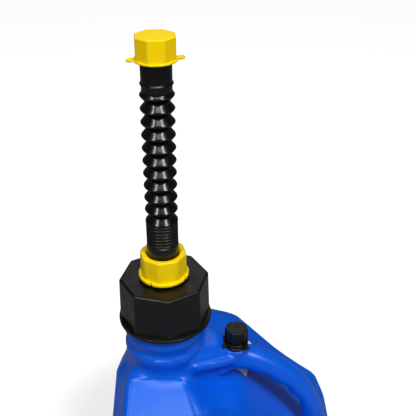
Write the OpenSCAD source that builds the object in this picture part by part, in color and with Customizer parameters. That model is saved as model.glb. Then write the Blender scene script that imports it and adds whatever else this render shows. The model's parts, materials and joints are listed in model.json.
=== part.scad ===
// Five gallon utility fuel jug with a screw cap, a clamping collar and a flexible bellows spout.
// Millimetres, +Z up. The origin is the middle of the footprint, on the floor.
// Each piece is drawn in the neck's frame, where z = 0 is the top of the screw cap and
// x runs back along the handle, and at_neck() then puts it in its place.

/* [Jug] */
// Width of the jug, across the handle
jug_width = 254; // [230:1:280]
// From the neck's axis forward to the front wall
jug_front = 80; // [72:1:95]
// From the neck's axis back to the rear wall
jug_rear = 229; // [215:1:260]
// From the floor to the top of the screw cap
jug_height = 465; // [440:5:540]
// Thickness of the blow-moulded wall
wall = 3.2; // [2.4:0.1:4.5]
// Radius of the upright corners
corner_r = 30; // [22:1:40]
// Radius where the walls meet the top
edge_r = 14; // [8:1:18]
// Radius where the walls meet the base
base_edge_r = 10; // [6:1:14]
// Depth of the hollow under the base
base_hollow = 3; // [1:0.5:6]
// Slope of the rear shoulder under the handle, in degrees
slope_angle = 46; // [40:1:50]

/* [Neck and screw cap] */
// Outer radius of the neck inside the screw cap
neck_r = 46; // [42:0.5:50]
// Wall of the neck
neck_wall = 4; // [3:0.5:6]
// Wall of the screw cap in the middle of a flat, at the top
cap_wall = 2.2; // [2:0.1:6]
// Height of the screw cap
cap_height = 58; // [50:1:62]
// Thickness of the screw cap's top
cap_top = 4; // [3:0.5:6]
// Draft of the screw cap's sides, in degrees
cap_draft = 1.5; // [0:0.5:3]
// Rounding of the screw cap's edges
cap_edge_r = 3; // [2:0.5:4]
// Angle of the screw cap's first corner
cap_turn = 8.3; // [0:0.1:45]
// How far the round rim stands out from the screw cap's corners
cap_rim = 1.2; // [0.5:0.1:3]
// Height of the round rim
cap_rim_h = 5; // [3:0.5:8]
// Thickness of the screw cap's gasket
cap_gasket_t = 2; // [1:0.5:3]
// Gap between the neck and the screw cap
thread_gap = 0.8; // [0.5:0.1:1.5]

/* [Collar] */
// Collar across its corners
collar_corners = 55; // [53:1:60]
// Height of the collar
collar_height = 34; // [30:1:40]
// Radius of the collar's round flange
collar_flange_r = 29.5; // [28.5:0.5:33]
// Thickness of the collar's flange
collar_flange_t = 4; // [3:0.5:6]
// Thickness of the collar's top, which clamps the spout
collar_top = 4; // [3:0.5:6]
// Angle of the collar's first corner
collar_turn = 38; // [0:1:45]
// Outer radius of the screw cap's threaded stub, inside the collar
stub_r = 21.6; // [20.5:0.1:22.5]
// Bore of the stub
stub_bore_r = 15.5; // [13:0.5:17]
// Thickness of the spout's gasket
spout_gasket_t = 1.8; // [1:0.1:3]

/* [Spout] */
// Outer radius of the plain tube in the collar
tube_r = 18.2; // [17:0.1:18.6]
// Thickness of the spout's flange
spout_flange_t = 3.4; // [2.5:0.1:4.5]
// Wall of the spout
spout_wall = 1.8; // [1.4:0.1:2.4]
// Number of fine ribs above the plain tube
rib_count = 7; // [4:1:7]
// Pitch of the fine ribs
rib_pitch = 3.4; // [3:0.1:3.5]
// Radius of a fine rib's round edge
rib_edge_r = 1.1; // [0.8:0.1:1.3]
// Height of the first bending valley above the screw cap
bellows_start = 69.4; // [69:0.1:76]
// Pitch of the bellows
bellows_pitch = 14.83; // [14.4:0.01:17]
// Outer radius at the bellows' crests
crest_r = 18.4; // [17.8:0.1:21]
// Radius of the ball seat in each bending valley
seat_r = 11.7; // [11:0.1:12]
// Running gap in each ball seat
seat_gap = 0.3; // [0.2:0.05:0.5]
// Outer radius of the nozzle
nozzle_r = 16.5; // [15.5:0.1:17]
// Length of the nozzle above the last crest
nozzle_length = 56; // [50:1:70]
// Height of the bead above the last crest
bead_height = 12; // [9:1:16]

/* [Nozzle cap] */
// Nozzle cap across its corners
nozzle_cap_corners = 42.2; // [40:0.1:46]
// Height of the nozzle cap
nozzle_cap_height = 25.5; // [22:0.5:30]
// Thickness of the nozzle cap's top
nozzle_cap_top = 3.5; // [2.5:0.5:5]
// Angle of the nozzle cap's first corner
nozzle_cap_turn = 28.5; // [0:0.5:45]
// Angle of the nozzle cap's ears
ear_turn = 11; // [0:1:45]
// From the axis to the tip of an ear
ear_reach = 29.8; // [27:0.1:34]
// Thickness of the nozzle cap's liner
liner_t = 1.5; // [1:0.1:2.5]
// Gap between the nozzle and its cap
nozzle_gap = 0.5; // [0.3:0.1:0.8]

/* [Handle and vent] */
// Half width of the handle
handle_half_w = 15.5; // [14:0.5:18]
// Depth of the finger scallops
finger_depth = 2.2; // [0:0.1:3]
// From the neck's axis back to the vent
vent_x = 87; // [84:1:92]
// Depth of the vent's seat below the screw cap's top
vent_drop = 106; // [105:0.5:108]
// Outer radius of the vent cap
vent_cap_r = 13.1; // [12:0.1:14]
// Height of the vent cap
vent_cap_height = 17.3; // [15:0.1:22]
// Height of the vent fitting, from its flange up to its ring
vent_flange_t = 8; // [7:0.5:10]
// Radius of the vent fitting's flange and ring
vent_flange_r = 15.3; // [14.5:0.1:16]
// From the vent's axis to the tip of a wing
wing_reach = 22.8; // [20:0.1:25]
// Radius of the vent fitting's thread
vent_thread_r = 8.5; // [7.5:0.1:9]

/* [Hidden] */

$fn = 96;
hull_fn = 28;
small_fn = 20;
ring_total = 10;

blue = [0.0, 0.34, 0.84];
yellow = [0.98, 0.80, 0.0];
black = [0.09, 0.09, 0.10];
grey = [0.30, 0.30, 0.31];

// The jug's footprint is centred on the origin.
neck_x = (jug_front - jug_rear) / 2;

module at_neck() {
    translate([neck_x, 0, jug_height]) children();
}

// ---- The jug's hollow body ----

// The rear shoulder starts at the brow, where the top turns down under the handle.
brow_x = 91;
brow_z = -161;
crown_x = 54;
crown_z = -148;
front_top_z = -152;
front_top_lean = 12.5;
front_bend_z = -236;
front_bend_lean = 1.5;
rim_inset = corner_r - edge_r;
rear_rim_x = jug_rear - edge_r;
rear_z = brow_z - tan(slope_angle) * (rear_rim_x - brow_x);

function arc(r, from, to, steps) =
    [for (i = [0 : steps]) r * [cos(from + (to - from) * i / steps), sin(from + (to - from) * i / steps)]];

// A disc with a rounded upper edge, its top at z = 0. Hulled discs make the tank's corners.
module corner_disc(r, edge, facets, steps) {
    rotate_extrude($fn = facets)
        polygon(concat(
            [[0, -edge - 1], [r, -edge - 1]],
            [for (p = arc(edge, 0, 90, steps)) p + [r - edge, -edge]],
            [[0, 0]]));
}

// The tank's outside with inset = 0, and its inside with inset = wall.
module tank_form(inset) {
    r = corner_r - inset;
    e = edge_r - inset;
    y = jug_width / 2 - corner_r;
    facets = inset > 0 ? 16 : hull_fn;
    steps = inset > 0 ? 2 : 4;
    floor_z = -jug_height + (inset > 0 ? inset + base_hollow : 0);
    tops = [
        [-jug_front + front_top_lean + corner_r, front_top_z],
        [-jug_front + front_bend_lean + corner_r, front_bend_z],
        [crown_x - rim_inset, crown_z],
        [brow_x - rim_inset, brow_z],
        [jug_rear - corner_r, rear_z]];
    hull() for (side = [-1, 1]) {
        for (p = tops)
            translate([p[0], side * y, p[1] - inset]) corner_disc(r, e, facets, steps);
        for (x = [-jug_front + corner_r, jug_rear - corner_r])
            translate([x, side * y, floor_z]) mirror([0, 0, 1])
                corner_disc(r, base_edge_r - inset / 2, facets, steps);
    }
}

// The raised block around the neck, with a flat sloping panel on each side.
shoulder_round = 9;
shoulder_corners = [
    [-43, 43, -129], [21, 45, -129],
    [-57, 105, -158], [57, 105, -157],
    [-57, 50, -152], [45, 26, -156]];

module shoulder_form(inset) {
    hull() for (side = [-1, 1], p = shoulder_corners)
        translate([p[0], side * p[1], p[2]]) sphere(r = shoulder_round - inset, $fn = small_fn);
}

// The web that carries the handle and the vent. Its roof falls from just under the screw cap
// to the vent's seat, and from the seam down to a ridge on each side.
web_roof = [[46.9, -82.5], [63.5, -95.5]];
web_roof_round = 8;
web_corners = [[32, 34.5, -102], [74, 12, -107], [32, 36, -152], [76, 14, -141]];
web_round = 4;

module web_form() {
    hull() {
        for (p = web_roof)
            translate([p[0], 0, p[1]]) sphere(r = web_roof_round, $fn = small_fn);
        for (side = [-1, 1], p = web_corners)
            translate([p[0], side * p[1], p[2]]) sphere(r = web_round, $fn = small_fn);
    }
}

// A lower ledge runs along each side of the web.
ledge_corners = [[34, 40.5, -108], [82, 17.5, -115], [34, 42.5, -150], [82, 17.5, -138]];
ledge_round = 3;

module web_ledge() {
    hull() for (side = [-1, 1], p = ledge_corners)
        translate([p[0], side * p[1], p[2]]) sphere(r = ledge_round, $fn = small_fn);
}

// The handle's centre line in the plane of symmetry, with its half height at each point.
handle_route = [
    [34, -118, 13], [64, -125, 14.5], [86, -127.5, 16.5], [103, -128, 18], [128, -139.5, 17.2], [151, -156, 16.4],
    [168, -174, 15.6], [183, -199, 15], [192, -226, 16], [198, -256, 18.5], [202, -290, 21]];
handle_steps = 3;
handle_sides = 20;
finger_first = 0.30;
finger_last = 0.74;
finger_total = 4;

// A smooth curve through the route's points, at parameter u along it.
function route_at(u) =
    let (last = len(handle_route) - 1, i = min(floor(u), last - 1), f = u - i,
        a = handle_route[max(i - 1, 0)], b = handle_route[i],
        c = handle_route[i + 1], d = handle_route[min(i + 2, last)])
    0.5 * (2 * b + (c - a) * f + (2 * a - 5 * b + 4 * c - d) * f * f + (3 * b - a - 3 * c + d) * f * f * f);

// Scallops for the fingers, 0 between them and 1 at their middle.
function finger_wave(share) =
    share < finger_first || share > finger_last ? 0
    : 0.5 - 0.5 * cos(360 * finger_total * (share - finger_first) / (finger_last - finger_first));

function side_round(v) = sign(v) * pow(abs(v), 0.86);

// One ring of the handle's skin at a share of its length.
function handle_ring(share, inset, sides) =
    let (last = len(handle_route) - 1, u = share * last, p = route_at(u), step = 0.01,
        q = route_at(min(u + step, last)) - route_at(max(u - step, 0)),
        t = [q[0], q[1]] / norm([q[0], q[1]]), up = [-t[1], t[0]],
        under = p[2] - inset - finger_depth * finger_wave(share), over = p[2] - inset,
        flare = share > 0.8 ? 6 * pow((share - 0.8) / 0.2, 2) : 0)
    [for (j = [0 : sides - 1])
        let (a = 360 * j / sides, h = (sin(a) > 0 ? over : under) * side_round(sin(a)))
        [p[0] + up[0] * h, (handle_half_w + flare - inset) * side_round(cos(a)), p[1] + up[1] * h]];

module handle_form(inset, steps, sides) {
    rings = steps * (len(handle_route) - 1) + 1;
    points = [for (i = [0 : rings - 1]) each handle_ring(i / (rings - 1), inset, sides)];
    skin = [for (i = [0 : rings - 2], j = [0 : sides - 1])
        let (k = (j + 1) % sides)
        each [
            [i * sides + j, (i + 1) * sides + k, i * sides + k],
            [i * sides + j, (i + 1) * sides + j, (i + 1) * sides + k]]];
    ends = [
        [for (j = [0 : sides - 1]) j],
        [for (j = [sides - 1 : -1 : 0]) (rings - 1) * sides + j]];
    polyhedron(points = points, faces = concat(skin, ends), convexity = 6);
}

// The neck: a plain threaded stretch, two round beads under the screw cap and a flared foot.
neck_top_z = -cap_top - cap_gasket_t;
neck_bead_z = -71;
neck_bead = 4.5;
neck_groove_z = -82;
lower_bead_z = -91;
lower_bead = 4;
neck_flare = 9;
neck_flare_z = -126;
neck_foot_z = -150;

module neck_outside() {
    rotate_extrude()
        polygon(concat(
            [[0, neck_top_z], [neck_r, neck_top_z]],
            [for (p = arc(neck_bead, 80, -80, 8)) p + [neck_r, neck_bead_z]],
            [[neck_r + 1, neck_groove_z]],
            [for (p = arc(lower_bead, 70, -60, 6)) p + [neck_r + 0.5, lower_bead_z]],
            [[neck_r + 3, lower_bead_z - 2 * lower_bead]],
            [[neck_r + neck_flare, neck_flare_z], [neck_r + neck_flare, neck_foot_z], [0, neck_foot_z]]));
}

base_foot_w = 9;

module base_hollow_form() {
    margin = base_edge_r + base_foot_w;
    linear_extrude(base_hollow + 1)
        translate([-jug_front + margin, -jug_width / 2 + margin])
            square([jug_front + jug_rear - 2 * margin, jug_width - 2 * margin]);
}

vent_boss_h = 18;
wing_gap = 0.4;

module jug_body() {
    at_neck() color(blue) difference() {
        union() {
            tank_form(0);
            shoulder_form(0);
            web_form();
            web_ledge();
            handle_form(0, handle_steps, handle_sides);
            neck_outside();
            translate([vent_x, 0, -vent_drop - vent_boss_h]) cylinder(r = vent_flange_r + 0.5, h = vent_boss_h);
        }
        tank_form(wall);
        shoulder_form(wall);
        handle_form(wall, 1, 12);
        translate([0, 0, -170]) cylinder(r = neck_r - neck_wall, h = 170);
        translate([vent_x, 0, -vent_drop - 14]) cylinder(r = vent_thread_r - 2, h = 15);
        translate([vent_x, 0, -vent_drop]) cylinder(r = vent_flange_r + 2 * wing_gap, h = 50);
        vent_wings(wing_gap, 2 * ledge_round);
        translate([0, 0, -jug_height - 1]) base_hollow_form();
    }
}

// ---- The screw cap ----

corner_share = cos(22.5);
cap_bore_r = neck_r + thread_gap;
cap_corner_r = (cap_bore_r + cap_wall) / corner_share;
cap_foot_r = cap_corner_r + (cap_height - cap_rim_h) * tan(cap_draft);
cap_rim_r = cap_foot_r + cap_rim;
stub_top_z = collar_height - collar_top - 0.3 - spout_flange_t - spout_gasket_t;

// Eight rounded corners hulled: the outside of a cap or nut that is turned by hand.
module octagon_form(top_r, foot_r, height, edge, turn) {
    inset = edge / corner_share;
    hull() for (i = [0 : 7]) rotate([0, 0, turn + 45 * i]) {
        translate([top_r - inset, 0, height - edge]) sphere(r = edge, $fn = small_fn);
        translate([foot_r - inset, 0, 0]) cylinder(r = edge, h = 1, $fn = small_fn);
    }
}

module main_cap() {
    at_neck() color(black) difference() {
        union() {
            translate([0, 0, -cap_height + 1])
                octagon_form(cap_corner_r, cap_foot_r, cap_height - 1, cap_edge_r, cap_turn);
            translate([0, 0, -cap_height]) rotate_extrude()
                polygon([[0, 0], [cap_rim_r - 1, 0], [cap_rim_r, 1], [cap_rim_r, cap_rim_h - 1.2],
                    [cap_rim_r - 1.2, cap_rim_h], [0, cap_rim_h]]);
            translate([0, 0, -1]) cylinder(r = stub_r, h = stub_top_z + 1);
        }
        translate([0, 0, -cap_height - 1]) cylinder(r = cap_bore_r, h = cap_height + 1 - cap_top);
        translate([0, 0, -cap_top - 1]) cylinder(r = stub_bore_r, h = cap_top + stub_top_z + 2);
    }
}

module main_cap_gasket() {
    at_neck() color(grey) translate([0, 0, neck_top_z]) difference() {
        cylinder(r = neck_r, h = cap_gasket_t);
        translate([0, 0, -1]) cylinder(r = neck_r - neck_wall, h = cap_gasket_t + 2);
    }
}

// ---- The collar that clamps the spout ----

collar_gap = 0.3;
collar_hole_r = tube_r + 0.5;
collar_bore_r = stub_r + 0.5;
notch_r = 1.6;

module spout_collar() {
    at_neck() color(yellow) difference() {
        union() {
            translate([0, 0, collar_gap + 1])
                octagon_form(collar_corners / 2, collar_corners / 2, collar_height - collar_gap - 1, 2, collar_turn);
            translate([0, 0, collar_gap]) rotate_extrude()
                polygon([[0, 0], [collar_flange_r - 0.8, 0], [collar_flange_r, 0.8],
                    [collar_flange_r, collar_flange_t - 1.2], [collar_flange_r - 1.2, collar_flange_t],
                    [0, collar_flange_t]]);
        }
        translate([0, 0, -1]) cylinder(r = collar_bore_r, h = collar_height - collar_top + 1);
        cylinder(r = collar_hole_r, h = collar_height + 1);
        for (i = [0 : 3])
            rotate([0, 0, 62 + 90 * i]) translate([collar_flange_r + 0.2, 0, 0])
                cylinder(r = notch_r, h = collar_flange_t + 1, $fn = 24);
    }
}

module spout_gasket() {
    at_neck() color(grey) translate([0, 0, stub_top_z]) difference() {
        cylinder(r = stub_r, h = spout_gasket_t);
        translate([0, 0, -1]) cylinder(r = stub_bore_r, h = spout_gasket_t + 2);
    }
}

// ---- The spout: a base, ten bellows rings and a nozzle, each on a ball seat in a valley ----

spout_foot_z = stub_top_z + spout_gasket_t;
lip_r = seat_r + seat_gap + spout_wall - 0.4;
crest_h = bellows_pitch / 2;
ball_root = 4.2;
ball_top = 2.4;
lip_drop = 2.2;
ring_wall = 1.4;
nozzle_foot_z = bellows_start + ring_total * bellows_pitch;
last_crest_z = nozzle_foot_z + crest_h;
nozzle_top_z = last_crest_z + nozzle_length;

// The ball half of a seat, about z = 0, on top of the piece below.
module ball_band() {
    intersection() {
        difference() {
            circle(r = seat_r);
            circle(r = seat_r - 1.3);
        }
        translate([0, -ball_root - 0.6]) square([seat_r, ball_root + 0.6 + ball_top]);
    }
}

// The socket half, about z = 0, at the foot of the piece above.
module socket_band() {
    intersection() {
        difference() {
            circle(r = lip_r);
            circle(r = seat_r + seat_gap);
        }
        translate([0, -lip_drop]) square([lip_r + 1, lip_drop + 3.6]);
    }
}

// The rising cone from a socket to the crest, whose tip is at height crest_h.
module rising_cone() {
    polygon([[seat_r + seat_gap, 2.6], [lip_r, 1.2], [crest_r, crest_h - 0.5], [crest_r, crest_h + 0.5],
        [crest_r - ring_wall - 0.6, crest_h]]);
}

// The falling cone from a crest at z = -crest_h to the ball whose centre is z = 0.
module falling_cone() {
    polygon([[crest_r, -crest_h - 0.5], [crest_r, -crest_h + 0.5], [seat_r - 0.9, -ball_root],
        [seat_r - 1.9, -ball_root - 0.9], [crest_r - ring_wall - 0.6, -crest_h]]);
}

module bellows_ring(k) {
    at_neck() color(black) translate([0, 0, bellows_start + (k - 1) * bellows_pitch]) rotate_extrude() {
        socket_band();
        rising_cone();
        translate([0, bellows_pitch]) falling_cone();
        translate([0, bellows_pitch]) ball_band();
    }
}

ribs_top_z = bellows_start - ball_root - 2.6;

module spout_base() {
    bore = tube_r - spout_wall - 1;
    at_neck() color(black) rotate_extrude() {
        polygon([[bore, spout_foot_z], [stub_r, spout_foot_z], [stub_r, spout_foot_z + spout_flange_t],
            [tube_r, spout_foot_z + spout_flange_t], [tube_r, ribs_top_z - rib_count * rib_pitch],
            [tube_r - 1.2, ribs_top_z - rib_count * rib_pitch + 0.8], [tube_r - 1.2, ribs_top_z],
            [seat_r - 0.9, bellows_start - ball_root], [seat_r - 1.9, bellows_start - ball_root - 0.9],
            [bore, ribs_top_z - 1.2]]);
        for (i = [1 : rib_count])
            translate([tube_r - rib_edge_r, ribs_top_z - (i - 0.5) * rib_pitch + 0.3]) circle(r = rib_edge_r, $fn = 24);
        translate([0, bellows_start]) ball_band();
    }
}

module nozzle() {
    at_neck() color(black) rotate_extrude() {
        translate([0, nozzle_foot_z]) socket_band();
        translate([0, nozzle_foot_z]) rising_cone();
        polygon([[crest_r, last_crest_z - 0.5], [crest_r, last_crest_z + 0.5], [nozzle_r + 0.6, last_crest_z + 3],
            [nozzle_r + 0.6, last_crest_z + bead_height - 1], [nozzle_r, last_crest_z + bead_height + 1],
            [nozzle_r, nozzle_top_z], [nozzle_r - spout_wall, nozzle_top_z],
            [nozzle_r - spout_wall, last_crest_z + 2], [crest_r - ring_wall - 0.6, last_crest_z]]);
        translate([nozzle_r, last_crest_z + bead_height]) circle(r = 1.2, $fn = 24);
    }
}

// ---- The nozzle cap ----

nozzle_cap_top_z = nozzle_top_z + liner_t + nozzle_cap_top;
nozzle_cap_foot_z = nozzle_cap_top_z - nozzle_cap_height;
ear_r = 3.9;
ear_t = 3;
ear_neck = 4.6;

module nozzle_cap() {
    at_neck() color(yellow) translate([0, 0, nozzle_cap_foot_z]) difference() {
        union() {
            translate([0, 0, 1])
                octagon_form(nozzle_cap_corners / 2, nozzle_cap_corners / 2, nozzle_cap_height - 1, 1.6, nozzle_cap_turn);
            cylinder(r = nozzle_cap_corners / 2 + 0.8, h = 2.4);
            rotate([0, 0, ear_turn]) {
                translate([-ear_reach + ear_r, -ear_neck / 2, 0]) cube([2 * (ear_reach - ear_r), ear_neck, ear_t]);
                for (side = [-1, 1])
                    translate([side * (ear_reach - ear_r), 0, 0]) cylinder(r = ear_r, h = ear_t, $fn = 32);
            }
        }
        translate([0, 0, -1]) cylinder(r = nozzle_r + nozzle_gap, h = nozzle_cap_height - nozzle_cap_top + 1);
    }
}

module nozzle_cap_liner() {
    at_neck() color(grey) translate([0, 0, nozzle_top_z]) cylinder(r = nozzle_r, h = liner_t);
}

// ---- The vent ----

vent_gasket_t = 1;
vent_bore_r = 3.5;
vent_seat_z = -vent_drop;
vent_flange_z = vent_seat_z + vent_gasket_t;
vent_ring_z = vent_flange_z + vent_flange_t;
vent_cap_foot_z = vent_ring_z + 0.3;
vent_cap_top_z = vent_cap_foot_z + vent_cap_height;
vent_cap_roof = 3;
vent_liner_t = 1.2;
vent_stub_top_z = vent_cap_top_z - vent_cap_roof - vent_liner_t;
vent_ribs = 8;
wing_angles = [217, 309];
wing_width = 6;
wing_t = 3.2;

// The two finger wings, or with gap > 0 the room that they need in the jug.
module vent_wings(gap, room) {
    for (angle = wing_angles)
        translate([vent_x, 0, vent_ring_z - wing_t - gap]) rotate([0, 0, angle])
            translate([vent_flange_r - 3, -wing_width / 2 - gap, 0])
                cube([wing_reach - vent_flange_r + 3 + gap, wing_width + 2 * gap, wing_t + gap + room]);
}

module vent_fitting() {
    at_neck() color(black) {
        vent_wings(0, 0);
        translate([vent_x, 0, vent_flange_z]) rotate_extrude()
            polygon([[vent_bore_r, 0], [vent_flange_r, 0], [vent_flange_r, 2.2], [vent_flange_r - 1.8, 3.2],
                [vent_flange_r - 1.8, vent_flange_t - 3], [vent_flange_r, vent_flange_t - 2.4],
                [vent_flange_r, vent_flange_t], [vent_thread_r, vent_flange_t],
                [vent_thread_r, vent_stub_top_z - vent_flange_z], [vent_bore_r, vent_stub_top_z - vent_flange_z]]);
        translate([vent_x, 0, vent_seat_z - 12]) difference() {
            cylinder(r = vent_thread_r - 2.1, h = 14);
            translate([0, 0, -1]) cylinder(r = vent_bore_r, h = 16);
        }
    }
}

module vent_fitting_gasket() {
    at_neck() color(grey) translate([vent_x, 0, vent_seat_z]) difference() {
        cylinder(r = vent_flange_r - 0.5, h = vent_gasket_t);
        translate([0, 0, -1]) cylinder(r = vent_thread_r - 2, h = vent_gasket_t + 2);
    }
}

module vent_cap() {
    at_neck() color(black) translate([vent_x, 0, vent_cap_foot_z]) difference() {
        union() {
            rotate_extrude()
                polygon([[0, 0], [vent_cap_r - 0.5, 0], [vent_cap_r, vent_cap_height - 1.2],
                    [vent_cap_r - 0.8, vent_cap_height - 0.2], [0, vent_cap_height]]);
            for (i = [0 : vent_ribs - 1]) rotate([0, 0, 360 * i / vent_ribs - 2])
                translate([vent_cap_r, 0, 0.8]) cylinder(r = 1.3, h = vent_cap_height - 4.5, $fn = 16);
        }
        translate([0, 0, -1]) cylinder(r = vent_thread_r + 0.4, h = vent_cap_height - vent_cap_roof + 1);
    }
}

module vent_cap_liner() {
    at_neck() color(grey) translate([vent_x, 0, vent_stub_top_z]) cylinder(r = vent_thread_r, h = vent_liner_t);
}

jug_body();
main_cap();
main_cap_gasket();
spout_collar();
spout_gasket();
spout_base();
bellows_ring(1);  // bellows_01
bellows_ring(2);  // bellows_02
bellows_ring(3);  // bellows_03
bellows_ring(4);  // bellows_04
bellows_ring(5);  // bellows_05
bellows_ring(6);  // bellows_06
bellows_ring(7);  // bellows_07
bellows_ring(8);  // bellows_08
bellows_ring(9);  // bellows_09
bellows_ring(10);  // bellows_10
nozzle();
nozzle_cap();
nozzle_cap_liner();
vent_fitting();
vent_fitting_gasket();
vent_cap();
vent_cap_liner();
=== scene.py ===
# %% [markdown]
# # A fuel jug with a flexible spout
# The real object is a blow-moulded polyethylene jug with a screw cap, a clamping collar, a bellows
# spout and a small screw vent. OpenSCAD has already made every piece at its real size. This lesson
# dresses those pieces: it gives them their soft edges, their mould marks and their plastics.

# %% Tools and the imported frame
import json
import math

import bmesh
import bpy
import numpy as np
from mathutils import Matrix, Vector
from mathutils.bvhtree import BVHTree

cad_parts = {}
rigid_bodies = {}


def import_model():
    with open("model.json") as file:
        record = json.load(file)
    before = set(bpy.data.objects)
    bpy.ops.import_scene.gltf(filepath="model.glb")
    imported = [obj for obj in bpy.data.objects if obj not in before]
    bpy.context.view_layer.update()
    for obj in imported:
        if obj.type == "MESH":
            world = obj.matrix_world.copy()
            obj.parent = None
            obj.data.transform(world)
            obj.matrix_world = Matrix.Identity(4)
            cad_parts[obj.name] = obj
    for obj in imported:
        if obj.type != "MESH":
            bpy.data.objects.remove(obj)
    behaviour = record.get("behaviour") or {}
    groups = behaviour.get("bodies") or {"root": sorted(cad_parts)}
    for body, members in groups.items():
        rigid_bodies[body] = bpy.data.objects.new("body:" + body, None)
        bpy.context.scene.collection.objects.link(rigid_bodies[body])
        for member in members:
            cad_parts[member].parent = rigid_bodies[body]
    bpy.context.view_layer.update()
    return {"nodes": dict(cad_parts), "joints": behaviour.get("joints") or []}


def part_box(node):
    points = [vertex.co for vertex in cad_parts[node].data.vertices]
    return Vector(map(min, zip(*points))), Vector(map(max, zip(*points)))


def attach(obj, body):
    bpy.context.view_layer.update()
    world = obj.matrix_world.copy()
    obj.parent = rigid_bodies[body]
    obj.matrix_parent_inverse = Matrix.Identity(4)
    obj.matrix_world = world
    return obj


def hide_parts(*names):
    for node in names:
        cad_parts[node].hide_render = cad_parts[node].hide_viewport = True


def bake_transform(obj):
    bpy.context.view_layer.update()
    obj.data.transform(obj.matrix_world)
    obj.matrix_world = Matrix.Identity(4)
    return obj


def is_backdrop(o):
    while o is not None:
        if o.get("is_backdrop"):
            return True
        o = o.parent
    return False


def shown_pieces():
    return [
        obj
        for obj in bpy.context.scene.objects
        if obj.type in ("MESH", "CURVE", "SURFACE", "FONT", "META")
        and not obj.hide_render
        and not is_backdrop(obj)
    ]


for leftover in list(bpy.data.objects):
    bpy.data.objects.remove(leftover)
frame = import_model()

# %% [markdown]
# Every size below is in millimetres in the neck's own frame: z = 0 is the top of the screw cap, the
# z axis is the neck's axis, and x runs back along the handle. One function turns such a place into
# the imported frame's metres, so no piece is ever fitted by eye.

# %% The neck's frame
MM = 0.001
CAP_TOP_THICKNESS = 4
gasket_low, gasket_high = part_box("main_cap_gasket")
axis_x = (gasket_low.x + gasket_high.x) / 2
cap_top_z = gasket_high.z + CAP_TOP_THICKNESS * MM


def at(x, y, z):
    """A place in the neck's frame, in millimetres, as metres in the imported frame."""
    return Vector((axis_x + x * MM, y * MM, cap_top_z + z * MM))


def span(node):
    """The lowest and highest corners of a CAD node, in millimetres in the neck's frame."""
    low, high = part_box(node)
    origin = at(0, 0, 0)
    return (low - origin) / MM, (high - origin) / MM


print("neck axis at x =", round(axis_x, 4), "cap top at z =", round(cap_top_z, 4))

# %% [markdown]
# ## The camera and the image points
# The camera is solved from the regular octagon of the cap and from the round edges around it. It looks
# along +Y and 30 degrees down. The named points are places in the photograph.

# %% Camera
W = H = 416
LONG_SIDE = max(W, H)
LENS = 60.2
SENSOR = 36
CAMERA_PITCH = 29.96
CAMERA_PLACE = at(51.9, -670.8, 478.0)

points = {
    "left_x": 112.2,
    "right_x": 327.0,
    "top_y": 28.0,
    "cap_corner_left": (118.3, 280.2),
    "cap_corner_front": (168.4, 302.7),
    "cap_corner_right": (208.8, 271.9),
    "cap_rim_low": (163.7, 344.5),
    "collar_low": (163.7, 286.9),
    "collar_notch_right": (185.3, 277.4),
    "ear_left": (125.6, 60.8),
    "ear_right": (185.2, 57.1),
    "vent_top": (236.4, 327.6),
    "label_corner": (252.3, 344.8),
    "label_foot": (244.4, 378.0),
    "panel_left": (125.0, 382.0),
    "panel_right": (188.0, 386.0),
}

lens_data = bpy.data.cameras.new("camera")
lens_data.lens = LENS
lens_data.sensor_width = SENSOR
lens_data.sensor_fit = "AUTO"
camera = bpy.data.objects.new("camera", lens_data)
camera.location = CAMERA_PLACE
camera.rotation_euler = (math.radians(90 - CAMERA_PITCH), 0, 0)
bpy.context.scene.collection.objects.link(camera)
bpy.context.scene.camera = camera
bpy.context.view_layer.update()


def sight_line(point):
    """Where the camera stands, and the direction in which it sees an image point."""
    x, y = point
    aim = Vector((
        x - W / 2 + lens_data.shift_x * LONG_SIDE,
        H / 2 - y + lens_data.shift_y * LONG_SIDE,
        -LONG_SIDE * LENS / SENSOR))
    turn = camera.matrix_world.to_3x3()
    return camera.matrix_world.translation.copy(), (turn @ aim).normalized()


def in_image(place):
    """Where the camera shows a place."""
    seen = camera.matrix_world.inverted() @ Vector(place)
    scale = LONG_SIDE * LENS / SENSOR / -seen.z
    x = W / 2 - lens_data.shift_x * LONG_SIDE + seen.x * scale
    y = H / 2 + lens_data.shift_y * LONG_SIDE - seen.y * scale
    return x, y


print("camera at", [round(c, 4) for c in camera.location])

# %% [markdown]
# ## Small workshop helpers
# A mesh is made from plain lists, a modifier's result is frozen into a plain mesh, and a turned
# piece is a closed outline swept round an axis. Fillets belong in the outline itself: two lines and
# a radius are far easier to control than a bevel on a finished solid.

# %% Mesh helpers
def mesh_object(name, verts, faces):
    data = bpy.data.meshes.new(name)
    data.from_pydata([tuple(v) for v in verts], [], faces)
    obj = bpy.data.objects.new(name, data)
    bpy.context.scene.collection.objects.link(obj)
    return obj


def reshape(obj, action):
    """Runs a bmesh action on an object's mesh."""
    bm = bmesh.new()
    bm.from_mesh(obj.data)
    action(bm)
    bm.to_mesh(obj.data)
    bm.free()
    return obj


def tidy_shell(bm):
    bmesh.ops.remove_doubles(bm, verts=bm.verts, dist=1e-6)
    bmesh.ops.recalc_face_normals(bm, faces=bm.faces)


def smooth(obj, sharp_angle=32):
    """Smooth shading that keeps edges sharper than the angle."""
    obj.data.shade_smooth()
    obj.data.set_sharp_from_angle(angle=math.radians(sharp_angle))
    return obj


def freeze(obj):
    """Turns an object with modifiers into a plain mesh."""
    depsgraph = bpy.context.evaluated_depsgraph_get()
    plain = bpy.data.meshes.new_from_object(obj.evaluated_get(depsgraph))
    obj.modifiers.clear()
    obj.data = plain
    return obj


def remove(obj):
    bpy.data.objects.remove(obj)


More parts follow.
